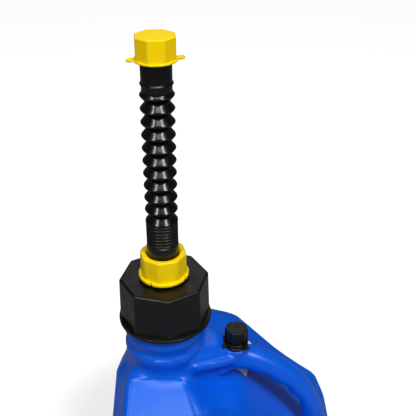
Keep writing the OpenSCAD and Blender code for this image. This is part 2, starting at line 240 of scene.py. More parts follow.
def fillet(corners, steps=5):
    """Rounds an outline of (r, z, radius) corners; a radius of 0 keeps a corner."""
    outline = []
    count = len(corners)
    for i, (r, z, radius) in enumerate(corners):
        here = Vector((r, z))
        if radius == 0:
            outline.append(here)
            continue
        before = Vector(corners[i - 1][:2]) - here
        after = Vector(corners[(i + 1) % count][:2]) - here
        half = before.angle(after) / 2
        reach = min(radius / math.tan(half), 0.49 * before.length, 0.49 * after.length)
        start = here + before.normalized() * reach
        end = here + after.normalized() * reach
        for k in range(steps + 1):
            t = k / steps
            outline.append(start * (1 - t) ** 2 + here * 2 * t * (1 - t) + end * t ** 2)
    return [tuple(p) for p in outline]


def turned(name, outline, sides=96, centre=(0, 0)):
    """A closed outline of (r, z) swept round an upright axis."""
    count = len(outline)
    verts = []
    for r, z in outline:
        for j in range(sides):
            a = 2 * math.pi * j / sides
            verts.append(at(centre[0] + r * math.cos(a), centre[1] + r * math.sin(a), z))
    faces = []
    for i in range(count):
        k = (i + 1) % count
        for j in range(sides):
            m = (j + 1) % sides
            faces.append((i * sides + j, i * sides + m, k * sides + m, k * sides + j))
    return smooth(reshape(mesh_object(name, verts, faces), tidy_shell))


def octagon(name, top_r, foot_r, low, high, turn, edge, corner):
    """An eight-sided block whose upright edges and top edges are rounded."""
    verts = []
    for r, z in ((foot_r, low), (top_r, high)):
        for i in range(8):
            a = math.radians(turn + 45 * i)
            verts.append(at(r * math.cos(a), r * math.sin(a), z))
    sides = [(i, (i + 1) % 8, 8 + (i + 1) % 8, 8 + i) for i in range(8)]
    obj = mesh_object(name, verts, sides + [tuple(range(7, -1, -1)), tuple(range(8, 16))])
    top_z = at(0, 0, high).z

    def round_edges(bm):
        upright = [e for e in bm.edges if abs(e.verts[0].co.z - e.verts[1].co.z) > MM]
        bmesh.ops.bevel(bm, geom=upright, offset=corner * MM, segments=5, profile=0.5, affect="EDGES")
        rim = [e for e in bm.edges if all(abs(v.co.z - top_z) < 1e-6 for v in e.verts)]
        bmesh.ops.bevel(bm, geom=rim, offset=edge * MM, segments=5, profile=0.5, affect="EDGES")
        tidy_shell(bm)
    return reshape(obj, round_edges)


def combine(obj, tool, operation):
    """A boolean with a second object, which it uses up."""
    modifier = obj.modifiers.new("boolean", "BOOLEAN")
    modifier.operation = operation
    modifier.solver = "EXACT"
    modifier.object = tool
    freeze(obj)
    remove(tool)
    return obj


def flat_faces_stay_flat(obj):
    """Weighted normals keep a flat face flat beside a rounded edge."""
    modifier = obj.modifiers.new("weighted", "WEIGHTED_NORMAL")
    modifier.keep_sharp = True
    modifier.weight = 80
    return freeze(obj)


def join(name, parts):
    """One object from several."""
    bm = bmesh.new()
    for part in parts:
        bm.from_mesh(part.data)
    obj = mesh_object(name, [], [])
    bm.to_mesh(obj.data)
    bm.free()
    for part in parts:
        remove(part)
    return obj


def surface_tree(obj):
    bm = bmesh.new()
    bm.from_mesh(obj.data)
    tree = BVHTree.FromBMesh(bm)
    bm.free()
    return tree


# %% [markdown]
# ## Geometry Nodes helpers
# What repeats is made by Geometry Nodes. Each tree gets named inputs for its sizes, and ends in
# Realize Instances and Set Material, so that the result is a plain mesh.

# %% Node tree helpers
class Tree:
    """A small builder for a Geometry Nodes tree."""

    def __init__(self, name, sizes):
        self.group = bpy.data.node_groups.new(name, "GeometryNodeTree")
        face = self.group.interface
        face.new_socket("Geometry", in_out="INPUT", socket_type="NodeSocketGeometry")
        for size, value in sizes.items():
            kind = "NodeSocketInt" if isinstance(value, int) else "NodeSocketFloat"
            face.new_socket(size, in_out="INPUT", socket_type=kind).default_value = value
        face.new_socket("Material", in_out="INPUT", socket_type="NodeSocketMaterial")
        face.new_socket("Geometry", in_out="OUTPUT", socket_type="NodeSocketGeometry")
        self.start = self.group.nodes.new("NodeGroupInput")

    def node(self, kind, inputs=(), **settings):
        made = self.group.nodes.new(kind)
        for key, value in settings.items():
            setattr(made, key, value)
        for socket, source in dict(inputs).items():
            if isinstance(source, bpy.types.NodeSocket):
                self.group.links.new(source, made.inputs[socket])
            else:
                made.inputs[socket].default_value = source
        return made.outputs

    def math(self, operation, a, b=0.0):
        return self.node("ShaderNodeMath", {0: a, 1: b}, operation=operation)[0]

    def finish(self, geometry):
        real = self.node("GeometryNodeRealizeInstances", {0: geometry})[0]
        dressed = self.node(
            "GeometryNodeSetMaterial", {"Geometry": real, "Material": self.start.outputs["Material"]})[0]
        end = self.group.nodes.new("NodeGroupOutput")
        self.group.links.new(dressed, end.inputs[0])
        return self.group


def grow(name, group, material, sizes=(), source=None):
    """Runs a tree once and keeps its plain mesh."""
    obj = source or mesh_object(name, [], [])
    modifier = obj.modifiers.new("grow", "NODES")
    modifier.node_group = group
    wanted = dict(sizes, Material=material)
    for item in group.interface.items_tree:
        if item.item_type == "SOCKET" and item.in_out == "INPUT" and item.name in wanted:
            modifier[item.identifier] = wanted[item.name]
    freeze(obj)
    print(name, len(obj.data.polygons), "faces")
    return obj


# %% [markdown]
# ## Plastics
# Four plastics, one rubber and one paper. Each has a colour that drifts a little over the piece, a
# grain in its bump at the real scale, and a roughness that varies, because moulded plastic is never
# quite even. Every pattern reads object coordinates, in metres.

# %% Materials
def colour(red, green, blue):
    """A colour as it is seen on screen, made linear for the shader."""
    return tuple((c / 255) ** 2.2 for c in (red, green, blue)) + (1.0,)


class Finish:
    """A principled material with noise-driven colour, roughness and bump."""

    def __init__(self, name, **settings):
        self.material = bpy.data.materials.new(name)
        self.material.use_nodes = True
        self.nodes = self.material.node_tree.nodes
        self.links = self.material.node_tree.links
        self.shader = self.nodes["Principled BSDF"]
        for socket, value in settings.items():
            self.shader.inputs[socket.replace("_", " ")].default_value = value
        self.place = self.nodes.new("ShaderNodeTexCoord").outputs["Object"]

    def noise(self, per_metre, detail=2.0, roughness=0.5):
        made = self.nodes.new("ShaderNodeTexNoise")
        made.inputs["Scale"].default_value = per_metre
        made.inputs["Detail"].default_value = detail
        made.inputs["Roughness"].default_value = roughness
        self.links.new(self.place, made.inputs["Vector"])
        return made.outputs["Fac"]

    def cells(self, per_metre):
        made = self.nodes.new("ShaderNodeTexVoronoi")
        made.feature = "SMOOTH_F1"
        made.inputs["Scale"].default_value = per_metre
        self.links.new(self.place, made.inputs["Vector"])
        return made.outputs["Distance"]

    def attribute(self, name):
        made = self.nodes.new("ShaderNodeAttribute")
        made.attribute_name = name
        return made.outputs["Fac"]

    def between(self, factor, low, high):
        """A value that runs from low to high as the factor runs from 0.3 to 0.7."""
        made = self.nodes.new("ShaderNodeMapRange")
        made.inputs["From Min"].default_value = 0.3
        made.inputs["From Max"].default_value = 0.7
        made.inputs["To Min"].default_value = low
        made.inputs["To Max"].default_value = high
        self.links.new(factor, made.inputs["Value"])
        return made.outputs["Result"]

    def blend_colours(self, factor, first, second):
        made = self.nodes.new("ShaderNodeMix")
        made.data_type = "RGBA"
        self.links.new(factor, made.inputs["Factor"])
        for socket, value in (("A", first), ("B", second)):
            target = [s for s in made.inputs if s.name == socket and s.type == "RGBA"][0]
            if isinstance(value, bpy.types.NodeSocket):
                self.links.new(value, target)
            else:
                target.default_value = value
        return [s for s in made.outputs if s.type == "RGBA"][0]

    def blend_values(self, factor, first, second):
        made = self.nodes.new("ShaderNodeMix")
        made.data_type = "FLOAT"
        self.links.new(factor, made.inputs["Factor"])
        self.links.new(first, made.inputs["A"])
        self.links.new(second, made.inputs["B"])
        return made.outputs["Result"]

    def bump(self, height, depth_mm, strength=1.0, under=None):
        made = self.nodes.new("ShaderNodeBump")
        made.inputs["Distance"].default_value = depth_mm * MM
        made.inputs["Strength"].default_value = strength
        self.links.new(height, made.inputs["Height"])
        if under is not None:
            self.links.new(under, made.inputs["Normal"])
        return made.outputs["Normal"]

    def use(self, socket, output):
        self.links.new(output, self.shader.inputs[socket])


def jug_plastic():
    """Blow-moulded polyethylene: a fine pebble all over, and a coarse one on the recessed panels, whose
    lighter speckled blue is partly their grain and partly painted sheen.
    """
    finish = Finish("jug_blue_polyethylene", Specular_IOR_Level=0.42)
    drift = finish.noise(9, 3)
    body = finish.blend_colours(drift, colour(0, 84, 206), colour(0, 95, 222))
    panel = finish.attribute("panel")
    # The panels' lighter speckled blue is partly their grain and partly painted sheen.
    speckle = finish.noise(900, 4, 0.7)
    panel_grain_and_painted_sheen = finish.blend_colours(speckle, colour(0, 84, 210), colour(38, 118, 240))
    finish.use("Base Color", finish.blend_colours(panel, body, panel_grain_and_painted_sheen))
    finish.use("Roughness", finish.between(finish.noise(40, 2), 0.27, 0.35))
    waves = finish.bump(finish.noise(22, 2), 1.1, 0.35)
    pebble = finish.blend_values(panel, finish.noise(1400, 3), finish.cells(620))
    grain = finish.blend_values(panel, finish.noise(500, 1), finish.noise(520, 5, 0.75))
    pebbled = finish.bump(pebble, 0.12, 0.5, waves)
    finish.use("Normal", finish.bump(grain, 0.3, 0.35, pebbled))
    return finish.material


def moulded_plastic(name, low, high, roughness, grain, depth_mm, wave_mm=0.4, **settings):
    """An injection-moulded plastic with an even grain over shallow waves."""
    finish = Finish(name, **settings)
    finish.use("Base Color", finish.blend_colours(finish.noise(25, 3), low, high))
    finish.use("Roughness", finish.between(finish.noise(60, 3), *roughness))
    waves = finish.bump(finish.noise(60, 2), wave_mm, 0.25)
    finish.use("Normal", finish.bump(finish.noise(grain, 4, 0.6), depth_mm, 0.5, waves))
    return finish.material


blue = jug_plastic()
cap_black = moulded_plastic(
    "satin_black_cap", colour(12, 12, 12), colour(17, 17, 17), (0.30, 0.42), 900, 0.10,
    Specular_IOR_Level=0.4)
spout_black = moulded_plastic(
    "glossy_black_spout", colour(4, 4, 4), colour(8, 8, 8), (0.19, 0.26), 500, 0.02, 0.15,
    Specular_IOR_Level=0.5)
yellow = moulded_plastic(
    "yellow_plastic", colour(246, 206, 0), colour(253, 216, 0), (0.30, 0.40), 800, 0.08,
    Specular_IOR_Level=0.2)
rubber = moulded_plastic(
    "seal_rubber", colour(34, 34, 34), colour(44, 44, 44), (0.62, 0.74), 1500, 0.08)
paper = moulded_plastic(
    "blank_label", colour(236, 236, 238), colour(246, 246, 247), (0.30, 0.42), 1200, 0.04)
print("materials", len(bpy.data.materials))

# %% [markdown]
# ## The jug
# A blow moulding has no sharp joins: the parison swells into the mould and every corner comes out
# round. The CAD body has the right forms but meets them in creases, so its outside is remeshed with
# small voxels and relaxed, which melts the creases as the real process does. Modelling the blends by
# hand would take many loops.

# %% Outside of the jug
VOXEL = 1.7
NECK_PLUG_R = 44
VENT_X = (span("vent_cap")[0].x + span("vent_cap")[1].x) / 2
VENT_SEAT_Z = span("vent_fitting_gasket")[0].z


def plug(radius, low, high, centre=(0, 0)):
    """A pin that closes a bore, so that the remesh keeps only the outside."""
    return turned("plug", [(0, low), (radius, low), (radius, high), (0, high)], 48, centre)


def outer_shell(obj):
    """Keeps the largest of a mesh's islands."""
    def keep_largest(bm):
        bm.verts.ensure_lookup_table()
        seen = np.zeros(len(bm.verts), bool)
        best = []
        for seed in bm.verts:
            if seen[seed.index]:
                continue
            island = [seed]
            seen[seed.index] = True
            for v in island:
                for e in v.link_edges:
                    other = e.other_vert(v)
                    if not seen[other.index]:
                        seen[other.index] = True
                        island.append(other)
            reach = max(v.co.z for v in island) - min(v.co.z for v in island)
            best.append((reach, island))
        best.sort(key=lambda pair: pair[0])
        for reach, island in best[:-1]:
            bmesh.ops.delete(bm, geom=island, context="VERTS")
    return reshape(obj, keep_largest)


def places(obj):
    """A mesh's vertices in millimetres in the neck's frame."""
    co = np.empty(len(obj.data.vertices) * 3)
    obj.data.vertices.foreach_get("co", co)
    return (co.reshape(-1, 3) - np.array(at(0, 0, 0))) / MM


def directions(obj):
    """The normals of a mesh's vertices."""
    normals = np.empty(len(obj.data.vertices) * 3)
    obj.data.vertices.foreach_get("normal", normals)
    return normals.reshape(-1, 3)


def move_to(obj, co):
    obj.data.vertices.foreach_set("co", (co * MM + np.array(at(0, 0, 0))).ravel())
    obj.data.update()


def relax(obj, rounds, share):
    """Moves each vertex towards the middle of its neighbours, by a share from 0 to 1."""
    edges = np.empty(len(obj.data.edges) * 2, int)
    obj.data.edges.foreach_get("vertices", edges)
    a, b = edges.reshape(-1, 2).T
    co = places(obj)
    total = len(co)
    degree = np.bincount(a, minlength=total) + np.bincount(b, minlength=total)
    for step in range(rounds):
        middle = np.empty_like(co)
        for k in range(3):
            near = np.bincount(a, co[b, k], total) + np.bincount(b, co[a, k], total)
            middle[:, k] = near / np.maximum(degree, 1)
        co += (middle - co) * (0.5 * share(co))[:, None]
    move_to(obj, co)


def ramp(value, start, end):
    t = np.clip((value - start) / (end - start), 0, 1)
    return t * t * (3 - 2 * t)


jug = mesh_object("jug_skin", [], [])
jug.data = frame["nodes"]["jug_body"].data.copy()
jug.data.materials.clear()
neck_plug = plug(NECK_PLUG_R, -120, -40)
vent_plug = plug(8, VENT_SEAT_Z - 20, VENT_SEAT_Z - 1.5, (VENT_X, 0))
jug = reshape(join("jug_skin", [jug, neck_plug, vent_plug]), tidy_shell)
modifier = jug.modifiers.new("voxels", "REMESH")
modifier.mode = "VOXEL"
modifier.voxel_size = VOXEL * MM
modifier.use_smooth_shade = True
outer_shell(freeze(jug))
print("jug skin", len(jug.data.vertices), "vertices")

# %% [markdown]
# The photograph shows a softer jug than the CAD's plain forms. Its front shoulder falls towards both
# sides, its rear rims stand higher, the two beads of the neck lie lower, the web has a step along
# its top and a hollow underneath, and the handle is slimmer, with a finger grip. Each is a smooth
# move of the vertices, with distances in millimetres in the neck's frame. Where the moves have
# stretched the skin, it is relaxed once more.

# %% Moves of the skin
# The neck's profile in the CAD and in the photograph, as (z, radius).
NECK_BEFORE = [(-150, 55), (-126, 55), (-99, 49), (-95, 49.6), (-91, 50.5), (-87, 49.4),
               (-82, 47), (-76, 49.2), (-71, 50.5), (-67, 49.4), (-65, 46)]
NECK_AFTER = [(-150, 55), (-138, 52), (-128, 49), (-118, 47.6), (-106, 48.0), (-100, 50.0),
              (-95, 51.2), (-90, 49.8), (-85, 47.2), (-80, 48.9), (-75.5, 50.8), (-71, 49.3),
              (-67, 46.6), (-65, 46)]
# The handle's middle line in the CAD, as (x, z, half height), and the top of the rear slope.
HANDLE_ROUTE = [(34, -118, 13), (64, -125, 14.5), (86, -127.5, 16.5), (103, -128, 18),
                (128, -139.5, 17.2), (151, -156, 16.4), (168, -174, 15.6), (183, -199, 15),
                (192, -226, 16), (198, -256, 18.5), (202, -290, 21)]
SLOPE_TOP = [(-60, -152), (54, -148), (91, -161), (219, -293.6)]
# The fall of the front shoulder, and the lift of the rear one's rims and middle, as (x, lift).
FRONT_SLOPE, FRONT_SLOPE_WIDTH = 0.466, 90
RIM_LIFT = [(36, 0), (47, 10.5), (60, 11), (77, 12.5), (149, 11.5), (168, 14), (187, 18),
            (206, 23), (214, 22), (222, 9), (229, 0)]
MIDDLE_LIFT = [(48, 0), (80, 6), (98, 5), (150, 5), (200, 8), (229, 0)]
# The step on the web's top and the width of the web, as (x, half width).
WEB_STEP = 4.6
WEB_STEP_EDGE = [(34, 32), (78, 12)]
WEB_WIDTH = [(34, 45.5), (82, 20.5)]
WEB_LEAST_HALF_WIDTH = 14.5
WEB_SIDE_REACH = 30
# The finger scallops along the handle, and the CAD's own, which they replace.
FINGER_PITCH, FIRST_FINGER, FINGER_DEPTH = 34.5, 99.9, 4.6
CAD_FINGER_DEPTH, CAD_FINGERS = 2.2, 4
CAD_FINGERS_START, CAD_FINGERS_END = 0.30, 0.74
HANDLE_TRIM, HANDLE_FRONT_TRIM = 3.2, 1.8


def along(value, table):
    """A table's value at each place, between its rows."""
    rows = sorted(table)
    return np.interp(value, [r[0] for r in rows], [r[1] for r in rows])


def drop_front(co):
    """The front of the shoulder falls towards both sides."""
    fall = FRONT_SLOPE * np.minimum(np.abs(co[:, 1]), FRONT_SLOPE_WIDTH)
    co[:, 2] -= fall * (1 - ramp(co[:, 0], -62, -44)) * ramp(co[:, 2], -400, -215)


def lift_rear(co):
    """The crown and the rear slope bulge, most at their rims."""
    top = along(co[:, 0], SLOPE_TOP)
    rim = ramp(np.abs(co[:, 1]), 60, 105)
    lift = along(co[:, 0], MIDDLE_LIFT) * (1 - rim) + along(co[:, 0], RIM_LIFT) * rim
    lift *= ramp(co[:, 2], top - 75, top - 14) * (1 - ramp(co[:, 2], top + 2, top + 10))
    co[:, 2] += lift


def shape_neck(co):
    """Two soft beads, and a neck that runs into the shoulder without a drum."""
    reach = np.hypot(co[:, 0], co[:, 1])
    turn = np.degrees(np.abs(np.arctan2(co[:, 1], co[:, 0])))
    share = ramp(turn, 44, 60) * (1 - ramp(reach, 56, 67)) * (1 - ramp(skin_up, 0.55, 0.85))
    share *= ramp(co[:, 2], -150, -140) * (1 - ramp(co[:, 2], -66, -64))
    change = (along(co[:, 2], NECK_AFTER) - along(co[:, 2], NECK_BEFORE)) * share
    co[:, :2] *= (1 + change / np.maximum(reach, 1))[:, None]


def step_web(co):
    """Lifts the web's top, so that a lower ledge runs along each side."""
    edge = along(co[:, 0], WEB_STEP_EDGE)
    lift = WEB_STEP * (1 - ramp(np.abs(co[:, 1]), edge - 1.8, edge + 0.8))
    lift *= ramp(co[:, 0], 24, 40) * (1 - ramp(co[:, 0], 62, 74)) * ramp(co[:, 2], -122, -113)
    co[:, 2] += lift


def hollow_web(co):
    """The web's sides stop above the shoulder, and run in below the ledges."""
    width = along(co[:, 0], WEB_WIDTH)
    slim = np.maximum(0.42 * width, WEB_LEAST_HALF_WIDTH)
    y = np.abs(co[:, 1])
    inside = np.maximum(y * slim / width, np.minimum(y, 14))
    outside = slim + (y - width) * (width + WEB_SIDE_REACH - slim) / WEB_SIDE_REACH
    moved = np.where(y < width, inside, np.where(y < width + WEB_SIDE_REACH, outside, y))
    share = ramp(co[:, 0], 30, 46) * (1 - ramp(co[:, 0], 78, 94))
    share *= (1 - ramp(co[:, 2], -129, -120)) * ramp(co[:, 2], -200, -172)
    co[:, 1] = np.sign(co[:, 1]) * (y + (moved - y) * share)


def handle_path():
    """Points along the handle's middle with its half height, as the CAD draws it."""
    knots = np.array(HANDLE_ROUTE)
    last = len(knots) - 1
    rows = []
    for u in np.linspace(0, last, 50 * last + 1):
        i = min(int(u), last - 1)
        f = u - i
        a, b, c, d = (knots[min(max(i + k, 0), last)] for k in (-1, 0, 1, 2))
        rows.append(0.5 * (2 * b + (c - a) * f + (2 * a - 5 * b + 4 * c - d) * f * f
                           + (3 * b - a - 3 * c + d) * f ** 3))
    return np.array(rows)


def shape_handle(co):
    """A slimmer handle whose underside has a scallop for each finger."""
    path = handle_path()
    step = np.gradient(path[:, :2], axis=0)
    step /= np.hypot(*step.T)[:, None]
    length = np.concatenate([[0], np.cumsum(np.hypot(*np.diff(path[:, :2], axis=0).T))])
    share_along = np.linspace(0, 1, len(path))
    near = np.nonzero((np.abs(co[:, 1]) < 17.5) & (co[:, 0] > 55) & (co[:, 2] > -290))[0]
    gap = (co[near, None, 0] - path[None, ::5, 0]) ** 2 + (co[near, None, 2] - path[None, ::5, 1]) ** 2
    k = gap.argmin(axis=1) * 5
    up = np.stack([-step[k, 1], step[k, 0]], axis=1)
    height = ((co[near][:, [0, 2]] - path[k, :2]) * up).sum(axis=1)
    cad_share = (share_along[k] - CAD_FINGERS_START) / (CAD_FINGERS_END - CAD_FINGERS_START)
    wave = np.where((cad_share > 0) & (cad_share < 1),
                    0.5 - 0.5 * np.cos(2 * math.pi * CAD_FINGERS * cad_share), 0)
    under = path[k, 2] - CAD_FINGER_DEPTH * wave
    finger = 0.5 + 0.5 * np.cos(2 * math.pi * (length[k] - FIRST_FINGER) / FINGER_PITCH)
    finger *= ramp(length[k], 74, 86) * (1 - ramp(length[k], 186, 200))
    trim = HANDLE_TRIM + HANDLE_FRONT_TRIM * (1 - ramp(length[k], 66, 90))
    wanted = path[k, 2] - trim - FINGER_DEPTH * finger
    squeeze = 1 + (wanted / under - 1) * ramp(length[k], 34, 52) * (1 - ramp(length[k], 188, 212))
    take = (height < 0) & (height > -under - 1.2)
    shift = np.where(take, height * (squeeze - 1), 0)
    co[near, 0] += up[:, 0] * shift
    co[near, 2] += up[:, 1] * shift


def soft_places(co):
    """Where the skin is relaxed most: the neck's foot, below the web, and the rear slope."""
    y = np.abs(co[:, 1])
    web = ramp(co[:, 0], 30, 46) * (1 - ramp(co[:, 0], 84, 98)) * (1 - ramp(y, 52, 66))
    web *= (1 - ramp(co[:, 2], -128, -118)) * ramp(co[:, 2], -195, -175)
    slope = ramp(co[:, 0], 60, 72) * (1 - ramp(co[:, 0], 150, 190)) * (1 - ramp(y, 62, 78))
    slope *= 1 - ramp(co[:, 2], along(co[:, 0], SLOPE_TOP) + 14, along(co[:, 0], SLOPE_TOP) + 22)
    reach = np.hypot(co[:, 0], co[:, 1])
    foot = ramp(reach, 45, 49) * (1 - ramp(reach, 60, 70)) * ramp(y, 28, 36)
    foot *= ramp(co[:, 2], -150, -138) * (1 - ramp(co[:, 2], -112, -106))
    return np.maximum(np.maximum(web, foot), slope * ramp(co[:, 2], -330, -300))


def keep_in_box(co):
    """The skin stays inside the CAD's box."""
    np.clip(co, skin_low, skin_high, out=co)


SKIN_MARGIN = np.array([0.3, 0.06, 0.06])
skin_low, skin_high = np.array(span("jug_body")) + [SKIN_MARGIN, -SKIN_MARGIN]
skin_up = directions(jug)[:, 2]
co = places(jug)
for move in (drop_front, lift_rear, shape_neck, step_web, hollow_web, shape_handle, keep_in_box):
    move(co)
move_to(jug, co)
LOCAL_ROUNDS, OVERALL_ROUNDS = 50, 7
relax(jug, LOCAL_ROUNDS, soft_places)
relax(jug, OVERALL_ROUNDS, lambda co: np.ones(len(co)))
co = places(jug)
print("shaped skin spans", co.min(axis=0).round(1), co.max(axis=0).round(1))

# %% [markdown]
# The recessed panels on the shoulder have a coarse grain, and a lighter speckled blue that is partly that
# grain and partly painted sheen. Their edge is a convex outline in plan, mirrored to both sides: the
# distance to that outline gives both the step in the surface and the attribute that the plastic's material
# reads.

# %% Recessed panels
PANEL = [(-41, 45.5), (22.6, 47.5), (37.8, 87), (42, 98), (-43, 98)]
PANEL_DEPTH = 1.5
PANEL_EDGE = 2.2


def inside_distance(outline, x, y):
    """How far inside a convex outline each point lies."""
    depth = np.full(len(x), 1e9)
    for (ax, ay), (bx, by) in zip(outline, outline[1:] + outline[:1]):
        length = math.hypot(bx - ax, by - ay)
        depth = np.minimum(depth, ((bx - ax) * (y - ay) - (by - ay) * (x - ax)) / length)
    return depth


def sink_panels(obj):
    co = places(obj)
    normals = directions(obj)
    mask = ramp(inside_distance(PANEL, co[:, 0], np.abs(co[:, 1])), 0, PANEL_EDGE)
    mask *= (normals[:, 2] > 0.5) & (co[:, 2] > -170)
    move_to(obj, co - normals * (mask * PANEL_DEPTH)[:, None])
    obj.data.attributes.new("panel", "FLOAT", "POINT").data.foreach_set("value", mask)
    return mask


panel_mask = sink_panels(jug)
print("panel vertices", int((panel_mask > 0.5).sum()))

# %% Fewer faces on the flat walls
KEPT_SHARE = 0.42
SMOOTH_ANGLE = 80

co = places(jug)
flat = jug.vertex_groups.new(name="flat")
weight = 1 - ramp(co[:, 2], -215, -175) * 0.97
weight[(co[:, 0] > 120) & (np.abs(co[:, 1]) < 30) & (co[:, 2] > -300)] = 0.03
for level in range(11):
    chosen = np.nonzero(np.round(weight * 10).astype(int) == level)[0]
    flat.add(chosen.tolist(), level / 10, "REPLACE")
modifier = jug.modifiers.new("decimate", "DECIMATE")
modifier.ratio = KEPT_SHARE
modifier.vertex_group = "flat"
modifier.vertex_group_factor = 1.0
modifier.use_collapse_triangulate = True
freeze(jug)
co = places(jug)
keep_in_box(co)
move_to(jug, co)
jug.vertex_groups.clear()
smooth(jug, SMOOTH_ANGLE)
jug.data.materials.append(blue)
jug_tree = surface_tree(jug)
print("jug skin", len(jug.data.polygons), "triangles; upper part",
      int((places(jug)[:, 2] > -175).sum()), "of", len(jug.data.vertices), "vertices")

# %% [markdown]
# ## The mould seam
# A blow mould closes in the plane of the neck and the handle, and leaves a fine raised line where
# its halves meet. The line is cut from the finished skin, so it lies on it everywhere, and a node
# tree turns it into a thin bead.

# %% Mould seam
SEAM_R = 0.42
SEAM_LOWEST = -320


def seam_tree():
    tree = Tree("seam bead", {"Radius": SEAM_R * MM, "Step": 1.6 * MM})
    sizes = tree.start.outputs
    line = tree.node("GeometryNodeMeshToCurve", {"Mesh": sizes["Geometry"]})[0]
    even = tree.node(
        "GeometryNodeResampleCurve", {"Curve": line, "Length": sizes["Step"]}, mode="LENGTH")[0]
    bead = tree.node("GeometryNodeCurvePrimitiveCircle", {"Resolution": 6, "Radius": sizes["Radius"]})[0]
    swept = tree.node(
        "GeometryNodeCurveToMesh", {"Curve": even, "Profile Curve": bead, "Fill Caps": True})[0]
    return tree.finish(tree.node("GeometryNodeSetShadeSmooth", {"Geometry": swept})[0])


def cut_line(source, lowest, highest):
    """The edges in which the plane of symmetry cuts a skin, sunk by half a bead."""
    line = mesh_object("seam", [], [])
    line.data = source.data.copy()
    line.data.materials.clear()
    sink = 0.45 * SEAM_R * MM

    def cut(bm):
        everything = bm.verts[:] + bm.edges[:] + bm.faces[:]
        made = bmesh.ops.bisect_plane(bm, geom=everything, plane_co=(0, 0, 0), plane_no=(0, 1, 0))
        kept = {e for e in made["geom_cut"] if isinstance(e, bmesh.types.BMEdge)}
        bm.normal_update()
        inward = {v: v.normal.copy() for e in kept for v in e.verts}
        others = [e for e in bm.edges if e not in kept]
        bmesh.ops.delete(bm, geom=bm.faces[:], context="FACES_ONLY")
        bmesh.ops.delete(bm, geom=others, context="EDGES")
        loose = [v for v in bm.verts if not v.link_edges or not lowest < v.co.z < highest]
        for v, normal in inward.items():
            v.co -= normal * sink
        bmesh.ops.delete(bm, geom=loose, context="VERTS")
        bmesh.ops.remove_doubles(bm, verts=bm.verts, dist=0.2 * MM)
    return reshape(line, cut)


seam = cut_line(jug, at(0, 0, SEAM_LOWEST).z, at(0, 0, -62).z)
grow("seam", seam_tree(), blue, source=seam)

# %% [markdown]
# ## The screw cap
# An eight-sided cap with a little draft, so that it leaves its mould, and a thin round rim at its
# foot. The edges are rounded by a bevel in mesh code, and weighted normals keep the faces flat. A
# low boss on its top carries the collar, which stands a little above the cap in the photograph.

# %% Screw cap
CAP_FLATS = 98
CAP_CORNER_R = CAP_FLATS / 2 / math.cos(math.radians(22.5))
CAP_FOOT_Z = span("main_cap")[0].z
CAP_RIM_R = (span("main_cap")[1].x - span("main_cap")[0].x) / 2
CAP_FOOT_R = CAP_RIM_R - 1.2
STUB_TOP_Z = span("main_cap")[1].z
CAP_TURN = 8.3
COLLAR_RAISE = 2.6
BOSS_R = 26.5
BOSS_TOP_Z = span("spout_collar")[0].z + COLLAR_RAISE - 0.3
STUB_R = (span("spout_gasket")[1].x - span("spout_gasket")[0].x) / 2

cap = octagon("main_cap_shell", CAP_CORNER_R, CAP_FOOT_R, CAP_FOOT_Z + 0.6, 0, CAP_TURN, 2.8, 1.6)
rim = turned("rim", fillet([
    (0, CAP_FOOT_Z, 0), (CAP_RIM_R, CAP_FOOT_Z, 0.8), (CAP_RIM_R, CAP_FOOT_Z + 3.6, 1.0),
    (CAP_RIM_R - 3, CAP_FOOT_Z + 4.2, 0), (0, CAP_FOOT_Z + 4.2, 0)]), 160)
combine(cap, rim, "UNION")
bore = turned("bore", fillet([
    (0, CAP_FOOT_Z - 1, 0), (47.6, CAP_FOOT_Z - 1, 0), (46.8, CAP_FOOT_Z + 1.2, 0),
    (46.8, -CAP_TOP_THICKNESS, 0), (0, -CAP_TOP_THICKNESS, 0)]))
combine(cap, bore, "DIFFERENCE")
combine(cap, turned("stub", [(0, -2), (STUB_R, -2), (STUB_R, STUB_TOP_Z), (0, STUB_TOP_Z)]), "UNION")
boss = turned("boss", [(0, -2), (BOSS_R, -2), (BOSS_R, BOSS_TOP_Z), (0, BOSS_TOP_Z)], 128)
combine(cap, boss, "UNION")
combine(cap, turned("stub bore", [(0, -5), (15.5, -5), (15.5, 27), (0, 27)]), "DIFFERENCE")
flat_faces_stay_flat(smooth(cap, 30))
cap.data.materials.clear()
cap.data.materials.append(cap_black)
print("screw cap", len(cap.data.polygons), "faces")

# %% [markdown]
# ## The collar
# A yellow nut with soft corners clamps the spout's flange on the stub. Its thin round flange has
# four half-round notches, which are cut by one tool made of four pins.

# %% Collar
COLLAR_LOW, COLLAR_HIGH = span("spout_collar")[0].z + COLLAR_RAISE, span("spout_collar")[1].z
COLLAR_FLANGE_R = (span("spout_collar")[1].y - span("spout_collar")[0].y) / 2
COLLAR_CORNER_R = 27.9
COLLAR_TURN = 38
NOTCHES, NOTCH_TURN, NOTCH_R = 4, 62, 2.2

collar = octagon("collar_shell", COLLAR_CORNER_R, COLLAR_CORNER_R, COLLAR_LOW + 0.6, COLLAR_HIGH,
                 COLLAR_TURN, 2.1, 3.6)
flange = turned("flange", fillet([
    (0, COLLAR_LOW, 0), (COLLAR_FLANGE_R, COLLAR_LOW, 0.9), (COLLAR_FLANGE_R, COLLAR_LOW + 3.7, 1.3),
    (24, COLLAR_LOW + 3.7, 0), (0, COLLAR_LOW + 3.7, 0)]), 128)
combine(collar, flange, "UNION")
bore = turned("bore", fillet([
    (0, COLLAR_LOW - 1, 0), (22.1, COLLAR_LOW - 1, 0), (22.1, COLLAR_HIGH - 4, 0),
    (18.8, COLLAR_HIGH - 4, 0), (18.8, COLLAR_HIGH - 1.6, 1.6), (20.9, COLLAR_HIGH - 0.5, 1.2),
    (22.0, COLLAR_HIGH + 1, 0), (0, COLLAR_HIGH + 1, 0)]))
combine(collar, bore, "DIFFERENCE")
